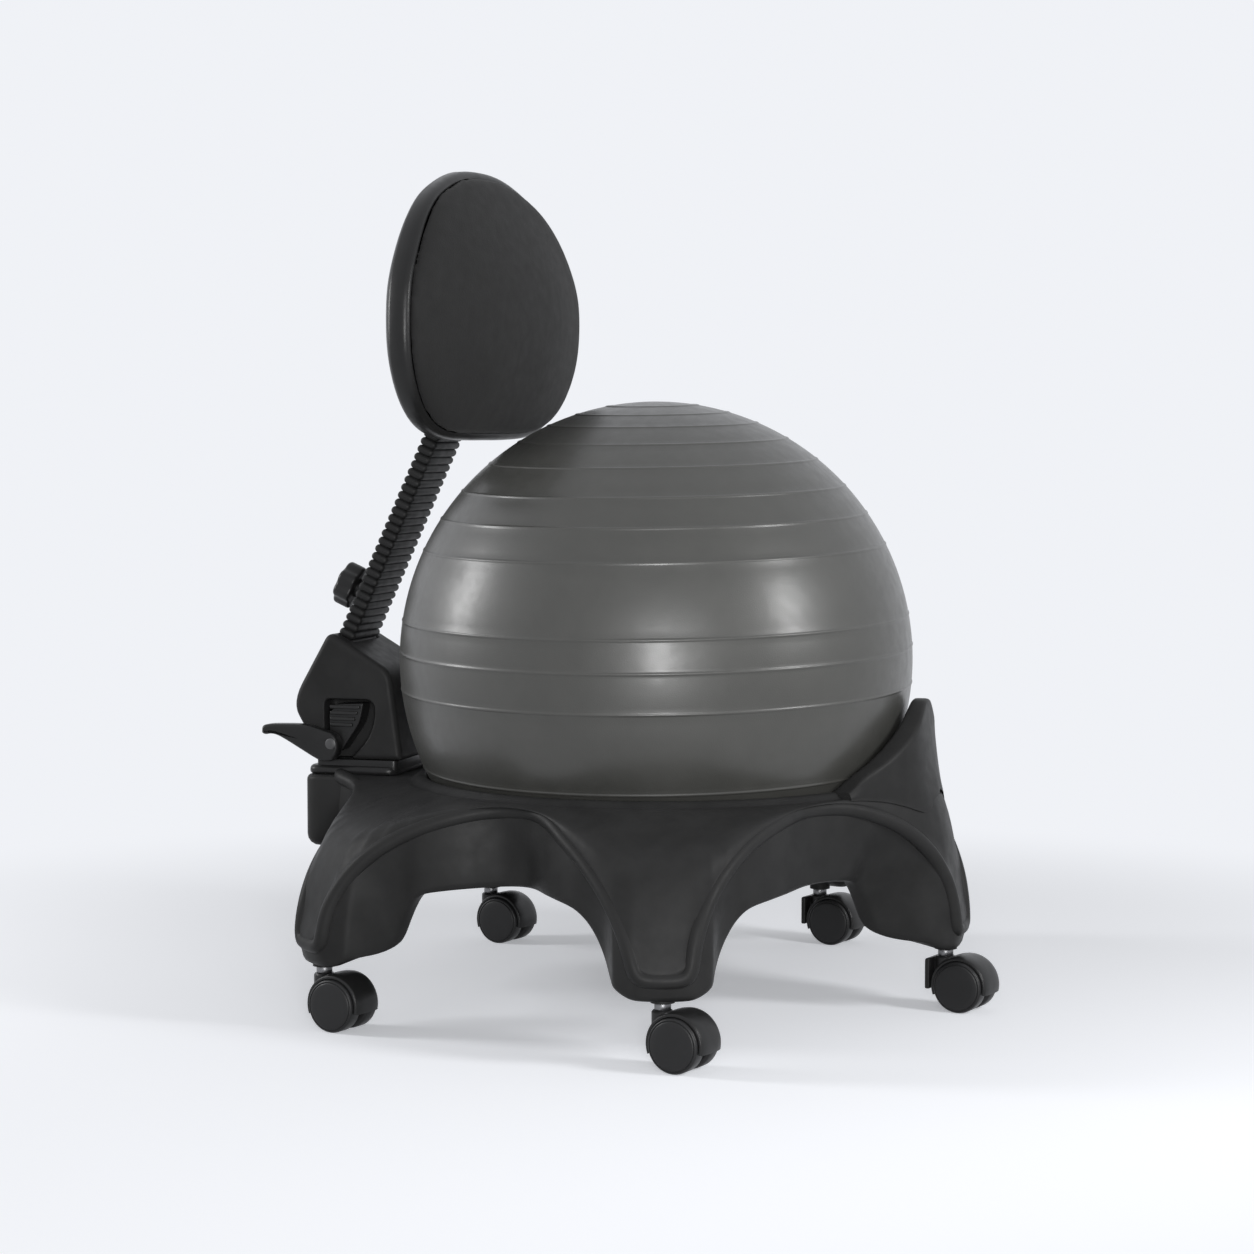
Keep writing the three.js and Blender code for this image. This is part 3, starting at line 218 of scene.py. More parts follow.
class Solid:
    """Gathers closed shapes in millimetres and turns them into one mesh object."""

    def __init__(self) -> None:
        """Starts with no shapes."""
        self.points: list[Vector] = []
        self.faces: list[tuple[int, ...]] = []

    def loft(self, rings: Sequence[Sequence[Vector]], looped: bool = False, place: Matrix | None = None) -> "Solid":
        """Skins rings of equal count, and caps the two ends unless the row of rings closes on itself.

        Args:
            rings: the rings, each a closed loop of points.
            looped: True if the last ring joins the first.
            place: where the shape goes.

        Returns:
            This solid.
        """
        start, count = len(self.points), len(rings[0])
        put = place or Matrix.Identity(4)
        for ring in rings:
            self.points.extend(put @ p for p in ring)
        for i in range(len(rings) if looped else len(rings) - 1):
            a, b = start + i * count, start + ((i + 1) % len(rings)) * count
            for j in range(count):
                k = (j + 1) % count
                self.faces.append((a + j, b + j, b + k, a + k))
        if not looped:
            for first in (start, start + (len(rings) - 1) * count):
                middle = sum((self.points[first + j] for j in range(count)), Vector()) / count
                self.points.append(middle)
                hub = len(self.points) - 1
                self.faces.extend((hub, first + j, first + (j + 1) % count) for j in range(count))
        return self

    def turned(self, profile: Sequence[Point], sides: int = 40, place: Matrix | None = None) -> "Solid":
        """Adds a solid of revolution about +Z.

        Args:
            profile: the half outline, as radius and height.
            sides: faces round the axis.
            place: where the shape goes.

        Returns:
            This solid.
        """
        rings = []
        for radius, z in profile:
            angles = [2 * math.pi * j / sides for j in range(sides)]
            rings.append([Vector((radius * math.cos(a), radius * math.sin(a), z)) for a in angles])
        return self.loft(rings, False, place)

    def slab(
        self, outline: Sequence[Point], low: float, high: float, round_low: float, round_high: float,
        place: Matrix | None = None, steps: int = 4,
    ) -> "Solid":
        """Adds an outline extruded along +Z with rounded rims.

        Args:
            outline: the anticlockwise outline.
            low: height of the lower face.
            high: height of the upper face.
            round_low: radius of the lower rim.
            round_high: radius of the upper rim.
            place: where the shape goes.
            steps: spans in each rim's curve.

        Returns:
            This solid.
        """
        rows: list[tuple[float, float]] = []
        for i in range(steps + 1):
            a = math.pi / 2 * i / steps
            rows.append((round_low * (1 - math.sin(a)), low + round_low * (1 - math.cos(a))))
        for i in range(steps, -1, -1):
            a = math.pi / 2 * i / steps
            rows.append((round_high * (1 - math.sin(a)), high - round_high * (1 - math.cos(a))))
        rings = [[Vector((x, y, z)) for x, y in inset(outline, d)] for d, z in rows]
        return self.loft(rings, False, place)

    def build(self, name: str, sharp: float = SHARP) -> bpy.types.Object:
        """Makes the mesh object, in the row frame.

        Args:
            name: the piece's name.
            sharp: edges that bend more than this many radians stay crisp.

        Returns:
            The object, linked to the scene.
        """
        mesh = bpy.data.meshes.new(name)
        mesh.from_pydata([p * MM + AXIS for p in self.points], [], self.faces)
        work = bmesh.new()
        work.from_mesh(mesh)
        bmesh.ops.remove_doubles(work, verts=work.verts, dist=WELD)
        bmesh.ops.recalc_face_normals(work, faces=work.faces)
        work.to_mesh(mesh)
        work.free()
        soften(mesh, sharp)
        return linked(name, mesh)


def linked(name: str, data: bpy.types.ID) -> bpy.types.Object:
    """Makes an object of some data and puts it in the scene.

    Args:
        name: the object's name.
        data: its mesh, lamp or camera.

    Returns:
        The object.
    """
    item = bpy.data.objects.new(name, data)
    bpy.context.scene.collection.objects.link(item)
    return item


def soften(mesh: bpy.types.Mesh, sharp: float = SHARP) -> None:
    """Shades a mesh smooth, apart from edges that bend more than an angle."""
    mesh.shade_smooth()
    mesh.set_sharp_from_angle(angle=sharp)


def settle(piece: bpy.types.Object, sharp: float = SHARP) -> None:
    """Applies a piece's modifiers to its mesh.

    Args:
        piece: the piece.
        sharp: edges that bend more than this many radians stay crisp.
    """
    graph = bpy.context.evaluated_depsgraph_get()
    mesh = bpy.data.meshes.new_from_object(piece.evaluated_get(graph))
    piece.modifiers.clear()
    piece.data = mesh
    soften(mesh, sharp)


def carve(piece: bpy.types.Object, cutters: Sequence[bpy.types.Object], sharp: float = SHARP) -> None:
    """Cuts shapes out of a piece and deletes them.

    Args:
        piece: the piece.
        cutters: the shapes, as objects.
        sharp: edges that bend more than this many radians stay crisp.
    """
    for cutter in cutters:
        step = piece.modifiers.new("Cut", "BOOLEAN")
        step.operation, step.solver, step.object = "DIFFERENCE", "MANIFOLD", cutter
    settle(piece, sharp)
    for cutter in cutters:
        bpy.data.objects.remove(cutter)
    even = piece.modifiers.new("Even shading", "WEIGHTED_NORMAL")
    even.keep_sharp = True


class Grain(Enum):
    """Kinds of fine relief on a surface."""

    STIPPLE = "stipple"
    LEATHER = "leather"
    BRUSHED = "brushed"


def colour_sockets(sockets: Sequence[bpy.types.NodeSocket]) -> list[bpy.types.NodeSocket]:
    """Returns those sockets of a node that carry a colour."""
    return [s for s in sockets if s.type == "RGBA"]


@dataclass(frozen=True)
class Finish:
    """A surface finish.

    Attributes:
        slot: the record's material slot.
        color: base colour, linear.
        roughness: middle roughness.
        grain: kind of relief.
        grain_size: width of one grain, in millimetres.
        grain_depth: height of the relief, in millimetres.
        mottle: share by which the colour varies.
        wear_and_highlight: share by which convex edges turn lighter, partly as edge wear and partly as a painted
            highlight.
        specular: specular level.
        metallic: 1 for metal.
        sheen: weight of the cloth-like sheen.
        sheen_roughness: roughness of that sheen.
        coat: weight of a thin glossy layer.
        coat_roughness: roughness of that layer.
        colour_patch: width of a patch of colour, in millimetres.
        gloss_patch: width of a patch of roughness, in millimetres.
        gloss_spread: how far the roughness varies each way.
    """

    slot: str
    color: tuple[float, float, float]
    roughness: float
    grain: Grain = Grain.STIPPLE
    grain_size: float = 0.9
    grain_depth: float = 0.03
    mottle: float = 0.12
    wear_and_highlight: float = 0.25
    specular: float = 0.3
    metallic: float = 0.0
    sheen: float = 0.0
    sheen_roughness: float = 0.6
    coat: float = 0.0
    coat_roughness: float = 0.26
    colour_patch: float = 30.0
    gloss_patch: float = 12.0
    gloss_spread: float = 0.05

    def material(self, name: str) -> bpy.types.Material:
        """Makes the finish as a node material, once for each name.

        Args:
            name: the material's name.

        Returns:
            The material.
        """
        if name in bpy.data.materials:
            return bpy.data.materials[name]
        material = bpy.data.materials.new(name)
        material.use_nodes = True
        tree = material.node_tree
        shader = tree.nodes["Principled BSDF"]
        for socket, value in (
            ("Specular IOR Level", self.specular), ("Metallic", self.metallic), ("Sheen Weight", self.sheen),
            ("Sheen Roughness", self.sheen_roughness), ("Coat Weight", self.coat),
            ("Coat Roughness", self.coat_roughness),
        ):
            shader.inputs[socket].default_value = value
        place = tree.nodes.new("ShaderNodeTexCoord").outputs["Object"]
        self._colour(tree, place, shader.inputs["Base Color"])
        self._gloss(tree, place, shader.inputs["Roughness"])
        self._relief(tree, place, shader.inputs["Normal"])
        return material

    @staticmethod
    def _noise(
        tree: bpy.types.NodeTree, place: bpy.types.NodeSocket, width: float, detail: float,
    ) -> bpy.types.NodeSocket:
        """Adds a noise texture.

        Args:
            tree: the material's nodes.
            place: the socket that gives the place on the piece.
            width: width of a patch, in millimetres.
            detail: how many finer layers it has.

        Returns:
            The socket with its value.
        """
        noise = tree.nodes.new("ShaderNodeTexNoise")
        noise.inputs["Scale"].default_value = 1 / (width * MM)
        noise.inputs["Detail"].default_value = detail
        tree.links.new(place, noise.inputs["Vector"])
        return noise.outputs["Fac"]

    @staticmethod
    def _range(
        tree: bpy.types.NodeTree, value: bpy.types.NodeSocket, source: Point, target: Point = (0, 1),
    ) -> bpy.types.NodeSocket:
        """Maps a value from one range to another.

        Args:
            tree: the material's nodes.
            value: the socket with the value.
            source: the range that it has.
            target: the range that it gets.

        Returns:
            The socket with the mapped value.
        """
        step = tree.nodes.new("ShaderNodeMapRange")
        for key, number in zip(("From Min", "From Max", "To Min", "To Max"), (*source, *target)):
            step.inputs[key].default_value = number
        tree.links.new(value, step.inputs["Value"])
        return step.outputs["Result"]

    def _colour(self, tree: bpy.types.NodeTree, place: bpy.types.NodeSocket, target: bpy.types.NodeSocket) -> None:
        """Mottles the colour and lightens it along convex edges, partly as edge wear and partly as a painted highlight.

        Args:
            tree: the material's nodes.
            place: the socket that gives the place on the piece.
            target: the socket that takes the colour.
        """
        patches = tree.nodes.new("ShaderNodeMix")
        patches.data_type = "RGBA"
        for socket, share in zip(colour_sockets(patches.inputs), (1 - self.mottle, 1 + self.mottle)):
            socket.default_value = (*[c * share for c in self.color], 1)
        value = self._noise(tree, place, self.colour_patch, 6)
        tree.links.new(self._range(tree, value, (0.35, 0.65)), patches.inputs[0])
        # Convex edges get a lighter colour: partly edge wear, partly a painted highlight on rims, beads and ribs.
        edges = tree.nodes.new("ShaderNodeMix")
        edges.data_type = "RGBA"
        plain, worn_and_lit = colour_sockets(edges.inputs)
        worn_and_lit.default_value = (*[c * (1 + self.wear_and_highlight) + 0.01 * self.wear_and_highlight for c in self.color], 1)
        bend = tree.nodes.new("ShaderNodeNewGeometry").outputs["Pointiness"]
        tree.links.new(self._range(tree, bend, (0.5, 0.6)), edges.inputs[0])
        tree.links.new(colour_sockets(patches.outputs)[0], plain)
        tree.links.new(colour_sockets(edges.outputs)[0], target)

    def _gloss(self, tree: bpy.types.NodeTree, place: bpy.types.NodeSocket, target: bpy.types.NodeSocket) -> None:
        """Varies the roughness a little in patches.

        Args:
            tree: the material's nodes.
            place: the socket that gives the place on the piece.
            target: the socket that takes the roughness.
        """
        value = self._noise(tree, place, self.gloss_patch, 4)
        span = self.roughness - self.gloss_spread, self.roughness + self.gloss_spread
        tree.links.new(self._range(tree, value, (0.3, 0.7), span), target)

    def _relief(self, tree: bpy.types.NodeTree, place: bpy.types.NodeSocket, target: bpy.types.NodeSocket) -> None:
        """Gives the surface its fine relief.

        Args:
            tree: the material's nodes.
            place: the socket that gives the place on the piece.
            target: the socket that takes the surface's direction.
        """
        if self.grain is Grain.LEATHER:
            cells = tree.nodes.new("ShaderNodeTexVoronoi")
            cells.feature = "SMOOTH_F1"
            cells.inputs["Scale"].default_value = 1 / (self.grain_size * MM)
            tree.links.new(place, cells.inputs["Vector"])
            height = cells.outputs["Distance"]
        elif self.grain is Grain.BRUSHED:
            stretch = tree.nodes.new("ShaderNodeMapping")
            stretch.inputs["Scale"].default_value = (1, 1, 0.05)
            tree.links.new(place, stretch.inputs["Vector"])
            height = self._noise(tree, stretch.outputs["Vector"], self.grain_size, 3)
        else:
            height = self._noise(tree, place, self.grain_size, 2)
        bump = tree.nodes.new("ShaderNodeBump")
        bump.inputs["Distance"].default_value = self.grain_depth * MM
        tree.links.new(height, bump.inputs["Height"])
        tree.links.new(bump.outputs["Normal"], target)


BASE_MOULDING = Finish(
    "base_plastic", (0.0275, 0.0275, 0.0277), 0.46, grain_size=0.8, grain_depth=0.05, wear_and_highlight=0.08, specular=0.1,
)
BALL_VINYL = Finish(
    "ball_vinyl", (0.056, 0.056, 0.0515), 0.42, grain_size=1.0, grain_depth=0.11, mottle=0.05, wear_and_highlight=0.3, specular=0.5,
    coat=0.36,
)
DARK_MOULDING = Finish("dark_plastic", (0.014, 0.014, 0.0142), 0.34, grain_size=0.8, specular=0.26)
BELLOWS_RUBBER = Finish("bellows_rubber", (0.016, 0.016, 0.0162), 0.5, grain_size=0.6, specular=0.18)
PAD_COVER = Finish(
    "pad_cover", (0.02, 0.02, 0.0202), 0.72, Grain.LEATHER, grain_size=1.3, grain_depth=0.12, mottle=0.03,
    specular=0.16, sheen=0.05,
)
DARK_STEEL = Finish("dark_steel", (0.05, 0.05, 0.052), 0.42, Grain.BRUSHED, grain_size=0.5, specular=0.5)
PLATED_STEEL = Finish(
    "plated_steel", (0.17, 0.17, 0.175), 0.4, Grain.BRUSHED, grain_size=0.4, grain_depth=0.01, mottle=0.05, metallic=1,
)
WHEEL_PLASTIC = Finish("wheel_plastic", (0.013, 0.013, 0.0135), 0.42, grain_size=0.9)
VALVE_PLASTIC = Finish("valve_plastic", (0.6, 0.6, 0.58), 0.5, mottle=0.04, wear_and_highlight=0.05)


def dress(piece: bpy.types.Object, finish: Finish) -> None:
    """Gives a piece its finish and the slot that goes with it.

    Args:
        piece: the piece.
        finish: its finish.
    """
    piece.data.materials.clear()
    piece.data.materials.append(finish.material(finish.slot + "_finish"))


def set_in(piece: bpy.types.Object, finish: Finish, body: str, *nodes: str) -> None:
    """Dresses a piece, lets it ride on a body and reports it.

    Args:
        piece: the piece.
        finish: its finish.
        body: the body that it rides on.
        nodes: the solids that it replaces.
    """
    dress(piece, finish)
    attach(piece, body)
    if nodes:
        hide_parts(*nodes)
    log.info("%s: %d faces on %s", piece.name, len(piece.data.polygons), body)


@dataclass
class Ball:
    """The exercise ball, with its moulded rings.

    Attributes:
        rib_height: how far a ring stands out.
        rib_half: half the width of a ring.
        ring_latitudes: where the rings are, in degrees above the equator.
        lean: how far the top of the ball's own axis leans along X and Y, as a share of its height.
        row_step: degrees between two rows of the plain skin.
        ring_steps: spans in half a ring.
        sides: faces round the ball.
    """

    rib_height: float = 0.7
    rib_half: float = 2.3
    ring_latitudes: tuple[float, ...] = (
        79.8, 72.8, 66, 58.5, 50.5, 41.9, 34.2, 26.2, 9.9, 2.95, -5.5, -23.6, -31.4, -39.3, -47.5, -55.6, -63.4, -71,
    )
    lean: Point = (-0.0376, 0.0049)
    row_step: float = 2.0
    ring_steps: int = 4
    sides: int = 180

    def profile(self) -> list[Point]:
        """Finds the ball's half outline, with close rows on each ring.

        Returns:
            The outline as radius and height.
        """
        latitudes = {-90.0, 90.0}
        latitudes.update(-90 + self.row_step * i for i in range(1, round(180 / self.row_step)))
        half = math.degrees(self.rib_half / BALL_RADIUS)
        for ring in self.ring_latitudes:
            latitudes = {a for a in latitudes if abs(a - ring) > half * 1.4}
            latitudes.update(ring + half * k / self.ring_steps for k in range(-self.ring_steps, self.ring_steps + 1))
        rows = []
        for latitude in sorted(latitudes):
            offset = min(abs(latitude - ring) / half for ring in self.ring_latitudes)
            rise = self.rib_height * (0.5 + 0.5 * math.cos(math.pi * offset)) if offset < 1 else 0.0
            a = math.radians(latitude)
            radius = BALL_RADIUS - self.rib_height / 2 + rise
            rows.append((radius * math.cos(a), radius * math.sin(a)))
        return rows

    def build(self) -> None:
        """Makes the ball and its valve plug."""
        tilt = Vector((0, 0, 1)).rotation_difference(Vector((*self.lean, 1))).to_matrix().to_4x4()
        place = Matrix.Translation((0, 0, BALL_HEIGHT)) @ tilt
        ball = Solid().turned(self.profile(), self.sides, place).build("ball_skin")
        set_in(ball, BALL_VINYL, "base", "ball")
        low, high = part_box("ball_valve_plug")
        head = (high.x - low.x) / 2 / MM
        profile = [(0, 0), (head * 0.8, 0), (head, 0.5), (head, 1.5), (head * 0.45, 1.5), (head * 0.45, 9.5), (0, 9.5)]
        plug = Solid().turned(profile, 32, Matrix.Translation((0, 0, low.z / MM))).build("valve_cap")
        set_in(plug, VALVE_PLASTIC, "base", "ball_valve_plug")


@dataclass(frozen=True)
class Leg:
    """One leg of the base.

    Attributes:
        name: its name.
        angle: degrees from the front towards -X.
        reach: the ball's axis to the caster's stem.
        spine: outward and downward shares of its top, from the shoulder to the ridge.
        heel: length of its foot's side, from the corner inwards.
        slack: how much slower its ridge rises towards the narrower arch.
    """

    name: str
    angle: float
    reach: float
    spine: tuple[Point, ...]
    heel: float = 42.0
    slack: float = 0.0


SIDE_SPINE = ((0.4, 0.145), (0.79, 0.36), (0.9, 0.52), (0.96, 0.75))
FRONT_SPINE = ((0.35, -0.01), (0.64, 0.0), (0.84, 0.36), (0.93, 0.7))
LEGS = (
    Leg("front", 0, 293, FRONT_SPINE, heel=54.0),
    Leg("near_side", 73.9, 350, SIDE_SPINE, slack=0.5),
    Leg("near_rear", 135.8, 358, SIDE_SPINE),
    Leg("far_rear", 360 - 135.8, 358, SIDE_SPINE),
    Leg("far_side", 360 - 73.9, 350, SIDE_SPINE, slack=0.5),
)


@dataclass(frozen=True)
class Lines:
    """The outer lines of the base at one angle.

    Attributes:
        share: share of the way from the foot's corner to mid-arch.
        low: radius of the lower edge.
        low_height: height of the lower edge.
        ridge: radius of the ridge.
        ridge_height: height of the ridge.
        heel: radius of the turned-in lip's inner edge.
        heel_height: height of that edge.
    """

    share: float
    low: float
    low_height: float
    ridge: float
    ridge_height: float
    heel: float
    heel_height: float


@dataclass
class RingBase:
    """The moulded base: a rolled rim, five arched legs, a raised ridge line and the rear block.

    Radii and reaches are from the ball's axis.

    Attributes:
        seat_radius: radius of the rim's inner edge.
        seat_height: height of that edge.
        seat_gap: room between the seat and the ball.
        lip_drop: how far the seat's skirt reaches down.
        bead_width: width of the rolled rim.
        bead_rise: how far the roll stands above its edges.
        groove_out: the rim's inner edge to the groove outside the roll.
        groove_drop: how far the groove lies under the edge.
        shoulder_out: the rim's inner edge to where the legs begin.
        shoulder_drop: how far that place lies under the edge.
        wall: thickness of the moulding.
        foot_height: height of the feet's soles.
        foot_nose: how far a foot goes past its caster's stem.
        foot_corner_share: how much of the corner's curve the sole follows.
        heel_lift: how far the lip's inner edge lies above the foot's corner.
        foot_half_width: half the width of a foot.
        foot_corner_back: the stem to the foot's corner, inwards.
        foot_corner_round: radius of the sole's corners, as seen from outside.
        edge_round: length of the curve at the lower edge.
        arch_rise: the sole to the top of the arch between two legs.
        arch_low_radius: radius of the lower edge there.
        arch_bow: how far the lower edge bows outwards on its way there.
        narrow_arch: half span under which an arch is a narrow one, in degrees.
        low_rows: the foot's side, as share of the heel, distance aside and height.
        path_steps: spans between two points of the lower edge.
        ridge_half_width: half the distance between a foot's two ridge lines.
        ridge_foot_rise: the sole to the ridge, at the foot.
        ridge_rise: how far the ridge rises from there to mid-arch.
        ridge_mid_radius: radius of the ridge's plan line at mid-arch.
        ridge_power: how soon the ridge rises.
        ridge_turn: degrees over which the ridge turns at mid-arch.
        ridge_step: size of the step under the ridge.
        band_bulge: how far the band under the ridge bulges.
        lip_width: least width of the lower edge's turned-in lip.
        lip_height: height of the lip in the arches.
        inner_wall_height: height of the lip at the feet.
        corner_asides: distances from the leg's middle at which the foot is measured.
        ridge_bead_radius: radius of the raised bead on the ridge.
        ridge_bead_sink: how far the bead's middle lies under the ridge.
        ridge_spacing: longest span of the bead's line.
        ridge_evening: rounds of averaging along the bead.
        evening: rounds of averaging round the base.
        spine_softening: how widely a leg's top is averaged: twice the degrees from one place to the next.
        spine_hold: how closely the average keeps to the ridge's own end.
        flare_side: half the width of the rear block's flat end.
        flare_rear: distance back of that end.
        flare_reach: how far aside the flare from block to leg goes.
        flare_slope: how much the ridge's plan line moves back for each step aside.
        flare_bend: how far aside and back of the block's corner the flare bends.
        flare_lift: how much higher the ridge is at the block.
        block_front: distance back of the rear block's front.
        block_rear: distance back of its rear.
        block_half_width: half its width.
        block_bottom: height of its bottom.
        block_top: height of its top.
        block_corner: radius of its corners.
        socket: the stem sockets' profile above the sole, as radius and height.
        low_paths: the lower edges that are worked out so far.
    """

    seat_radius: float = 227.0
    seat_height: float = 219.0
    seat_gap: float = 0.8
    lip_drop: float = 18.0
    bead_width: float = 14.0
    bead_rise: float = 3.0
    groove_out: float = 18.0
    groove_drop: float = 2.4
    shoulder_out: float = 21.0
    shoulder_drop: float = 2.0
    wall: float = 5.0
    foot_height: float = 59.0
    foot_nose: float = 18.0
    foot_corner_share: float = 0.85
    heel_lift: float = 5.0
    foot_half_width: float = 45.0
    foot_corner_back: float = 2.0
    foot_corner_round: float = 24.0
    edge_round: float = 8.0
    arch_rise: float = 79.0
    arch_low_radius: float = 245.0
    arch_bow: float = 10.0
    narrow_arch: float = 34.0
    low_rows: tuple[tuple[float, float, float], ...] = (
        (0.0, 45.0, 70.4), (0.6, 46.5, 71.5), (1.0, 48.5, 77.0), (1.12, 52.0, 89.0), (1.2, 59.0, 105.0),
        (1.28, 68.0, 119.0), (1.36, 80.0, 130.0),
    )
    path_steps: int = 12
    ridge_half_width: float = 25.0
    ridge_foot_rise: float = 26.0
    ridge_rise: float = 130.0
    ridge_mid_radius: float = 250.0
    ridge_power: float = 2.1
    ridge_turn: float = 14.0
    ridge_step: float = 3.0
    band_bulge: float = 3.0
    lip_width: float = 16.0
    lip_height: float = 10.0
    inner_wall_height: float = 45.0
    corner_asides: tuple[float, ...] = (0, 8, 16, 22, 24, 27, 30, 33, 36, 38.5, 41, 43, 44.3)
    ridge_bead_radius: float = 7.5
    ridge_bead_sink: float = 5.0
    ridge_spacing: float = 3.0
    ridge_evening: int = 24
    evening: int = 10
    spine_softening: float = 6.0
    spine_hold: int = 24
    flare_side: float = 70.0
    flare_rear: float = 318.0
    flare_reach: float = 176.0
    flare_slope: float = 37 / 244
    flare_bend: Point = (4.0, 3.0)
    flare_lift: float = 9.0
    block_front: float = 236.0
    block_rear: float = 351.0
    block_half_width: float = 70.0
    block_bottom: float = 144.0
    block_top: float = 216.5
    block_corner: float = 20.0
    socket: tuple[Point, ...] = ((6, -0.2), (11, -0.2), (11, 36), (6, 36))
    low_paths: dict[tuple[str, float], list[tuple[float, float, float]]] = field(default_factory=dict)

    def sphere_radius(self, z: float, grow: float = 0.0) -> float:
        """Returns the seat sphere's radius at a height."""
        return math.sqrt((BALL_RADIUS + self.seat_gap + grow) ** 2 - (BALL_HEIGHT - z) ** 2)

    @property
    def shoulder(self) -> Point:
        """Radius and height where the legs' faces begin."""
        return self.seat_radius + self.shoulder_out, self.seat_height - self.shoulder_drop

    def ridge_line(self, leg: Leg, half_span: float) -> tuple[Point, Point]:
        """Finds the ridge's straight plan line beside a leg.

        Args:
            leg: the leg.
            half_span: degrees from the leg to mid-arch.

        Returns:
            The line's ends at the foot and at mid-arch, each as distance out and aside.
        """
        c, s = cos_sin(half_span)
        return (
            (leg.reach + self.foot_nose, self.ridge_half_width), (self.ridge_mid_radius * c, self.ridge_mid_radius * s),
        )

    def low_path(self, leg: Leg, half_span: float) -> list[tuple[float, float, float]]:
        """Finds the lower edge from the foot's corner to mid-arch, once for each arch's side.

        Args:
            leg: the leg.
            half_span: degrees from the leg to mid-arch.

        Returns:
            Rows of angle, radius and height.
        """
        key = (leg.name, round(half_span, 3))
        if key in self.low_paths:
            return self.low_paths[key]
        c, s = cos_sin(half_span)
        corner = leg.reach - self.foot_corner_back
        points = [Vector((corner - leg.heel * k, aside, z)) for k, aside, z in self.low_rows]
        last, top = points[-1], self.foot_height + self.arch_rise
        mid = Vector((self.arch_low_radius * c, self.arch_low_radius * s, top))
        for t in (0.3, 0.6):
            here = last.lerp(mid, t)
            rise = mix(last.z, top, 1 - (1 - t) ** 2)
            points.append(Vector((here.x + self.arch_bow * 4 * t * (1 - t), here.y, rise)))
        before = points[-1]
        along = before.x * c + before.y * s
        points += [mid, Vector((2 * along * c - before.x, 2 * along * s - before.y, before.z))]
        rows = []
        for i in range(len(points) - 2):
            for k in range(self.path_steps):
                q = curve_point(points[max(0, i - 1)], *points[i:i + 3], k / self.path_steps)
                rows.append((math.degrees(math.atan2(q.y, q.x)), math.hypot(q.x, q.y), q.z))
        rows.append((half_span, self.arch_low_radius, top))
        self.low_paths[key] = rows
        return rows

    @staticmethod
    def crossing(angle: float, start: Point, end: Point) -> Point:
        """Finds where the ray at an angle crosses a plan line.

        Args:
            angle: degrees from the leg.
            start: where the line starts.
            end: where the line ends.

        Returns:
            The share of the way along the line, and the radius there.
        """
        c, s = cos_sin(angle)
        share = (start[1] * c - start[0] * s) / ((start[1] - end[1]) * c - (start[0] - end[0]) * s)
        t = min(1.0, max(0.0, share))
        return t, math.hypot(mix(start[0], end[0], t), mix(start[1], end[1], t))

    def lines(self, leg: Leg, angle: float, half_span: float) -> Lines:
        """Finds the outer lines at one angle.

        Args:
            leg: the leg.
            angle: degrees from the leg.
            half_span: degrees from the leg to mid-arch.

        Returns:
            The lines.
        """
        ridge_from, ridge_to = self.ridge_line(leg, half_span)
        path = self.low_path(leg, half_span)
        low_start = path[0][0]
        ridge_start = math.degrees(math.atan2(ridge_from[1], ridge_from[0]))
        if angle < low_start:
            share = 0.0
            nose = leg.reach + self.foot_nose - self.ridge_step
            low = mix(nose, path[0][1], (angle / low_start) ** 2)
            aside = low * math.sin(math.radians(angle))
            over = max(0.0, (aside - self.foot_half_width) / self.foot_corner_round + 1) * self.foot_corner_share
            low_height = self.foot_height + self.foot_corner_round * (1 - math.sqrt(1 - min(1.0, over) ** 2))
        else:
            i = 0
            while i < len(path) - 2 and path[i + 1][0] < angle:
                i += 1
            t = min(1.0, (angle - path[i][0]) / (path[i + 1][0] - path[i][0]))
            low, low_height = mix(path[i][1], path[i + 1][1], t), mix(path[i][2], path[i + 1][2], t)
            share = (angle - low_start) / (half_span - low_start)
        off = half_span - angle
        part = off / self.ridge_turn
        turned = off if part > 1 else self.ridge_turn * part**2 * (2 - part)
        ridge_share, ridge = self.crossing(half_span - turned, ridge_from, ridge_to)
        if angle < ridge_start:
            ridge_share, ridge = 0.0, math.hypot(*ridge_from)
        power = self.ridge_power - (leg.slack if half_span < self.narrow_arch else 0.0)
        ridge_rise = self.ridge_rise * (1 - (1 - ridge_share) ** power) ** (1 / power)
        heel = (leg.reach - self.foot_corner_back - leg.heel) / math.cos(math.radians(min(angle, low_start)))
        heel = min(heel, low - self.lip_width)
        out = 0.0
        if 90 < leg.angle < 270 and half_span > self.narrow_arch:
            out = max(0.0, self.flare(half_span - angle) - ridge)
        near = min(1.0, out / (self.flare_rear - self.ridge_mid_radius))
        low += out + near * max(0.0, ridge - low - self.ridge_step * 2)
        return Lines(
            share, low, low_height, ridge + out,
            self.foot_height + self.ridge_foot_rise + ridge_rise + self.flare_lift * near, heel,
            max(low_height, path[0][2]) + self.heel_lift,
        )

    def flare(self, off_rear: float) -> float:
        """Returns the radius of the curve that leads from a leg's ridge to the block's side.

        Args:
            off_rear: degrees from straight back.

        Returns:
            The curve's distance from the ball's axis in that direction.
        """
        side, rear, reach = self.flare_side, self.flare_rear, self.flare_reach
        steps = 40
        start, end = Vector((side, rear)), Vector((reach, self.ridge_mid_radius + self.flare_slope * reach))
        aside, back = self.flare_bend
        bend = Vector((side + aside, self.ridge_mid_radius + self.flare_slope * side + back))
        tangent = math.tan(math.radians(off_rear))
        last = start
        if off_rear <= math.degrees(math.atan2(side, rear)):
            return rear / math.cos(math.radians(off_rear))
        for i in range(1, steps + 1):
            t = i / steps
            here = start * (1 - t) ** 2 + bend * 2 * t * (1 - t) + end * t * t
            if here.x >= here.y * tangent:
                a, b = last.x - last.y * tangent, here.x - here.y * tangent
                return last.lerp(here, a / (a - b)).length
            last = here
        return 0.0

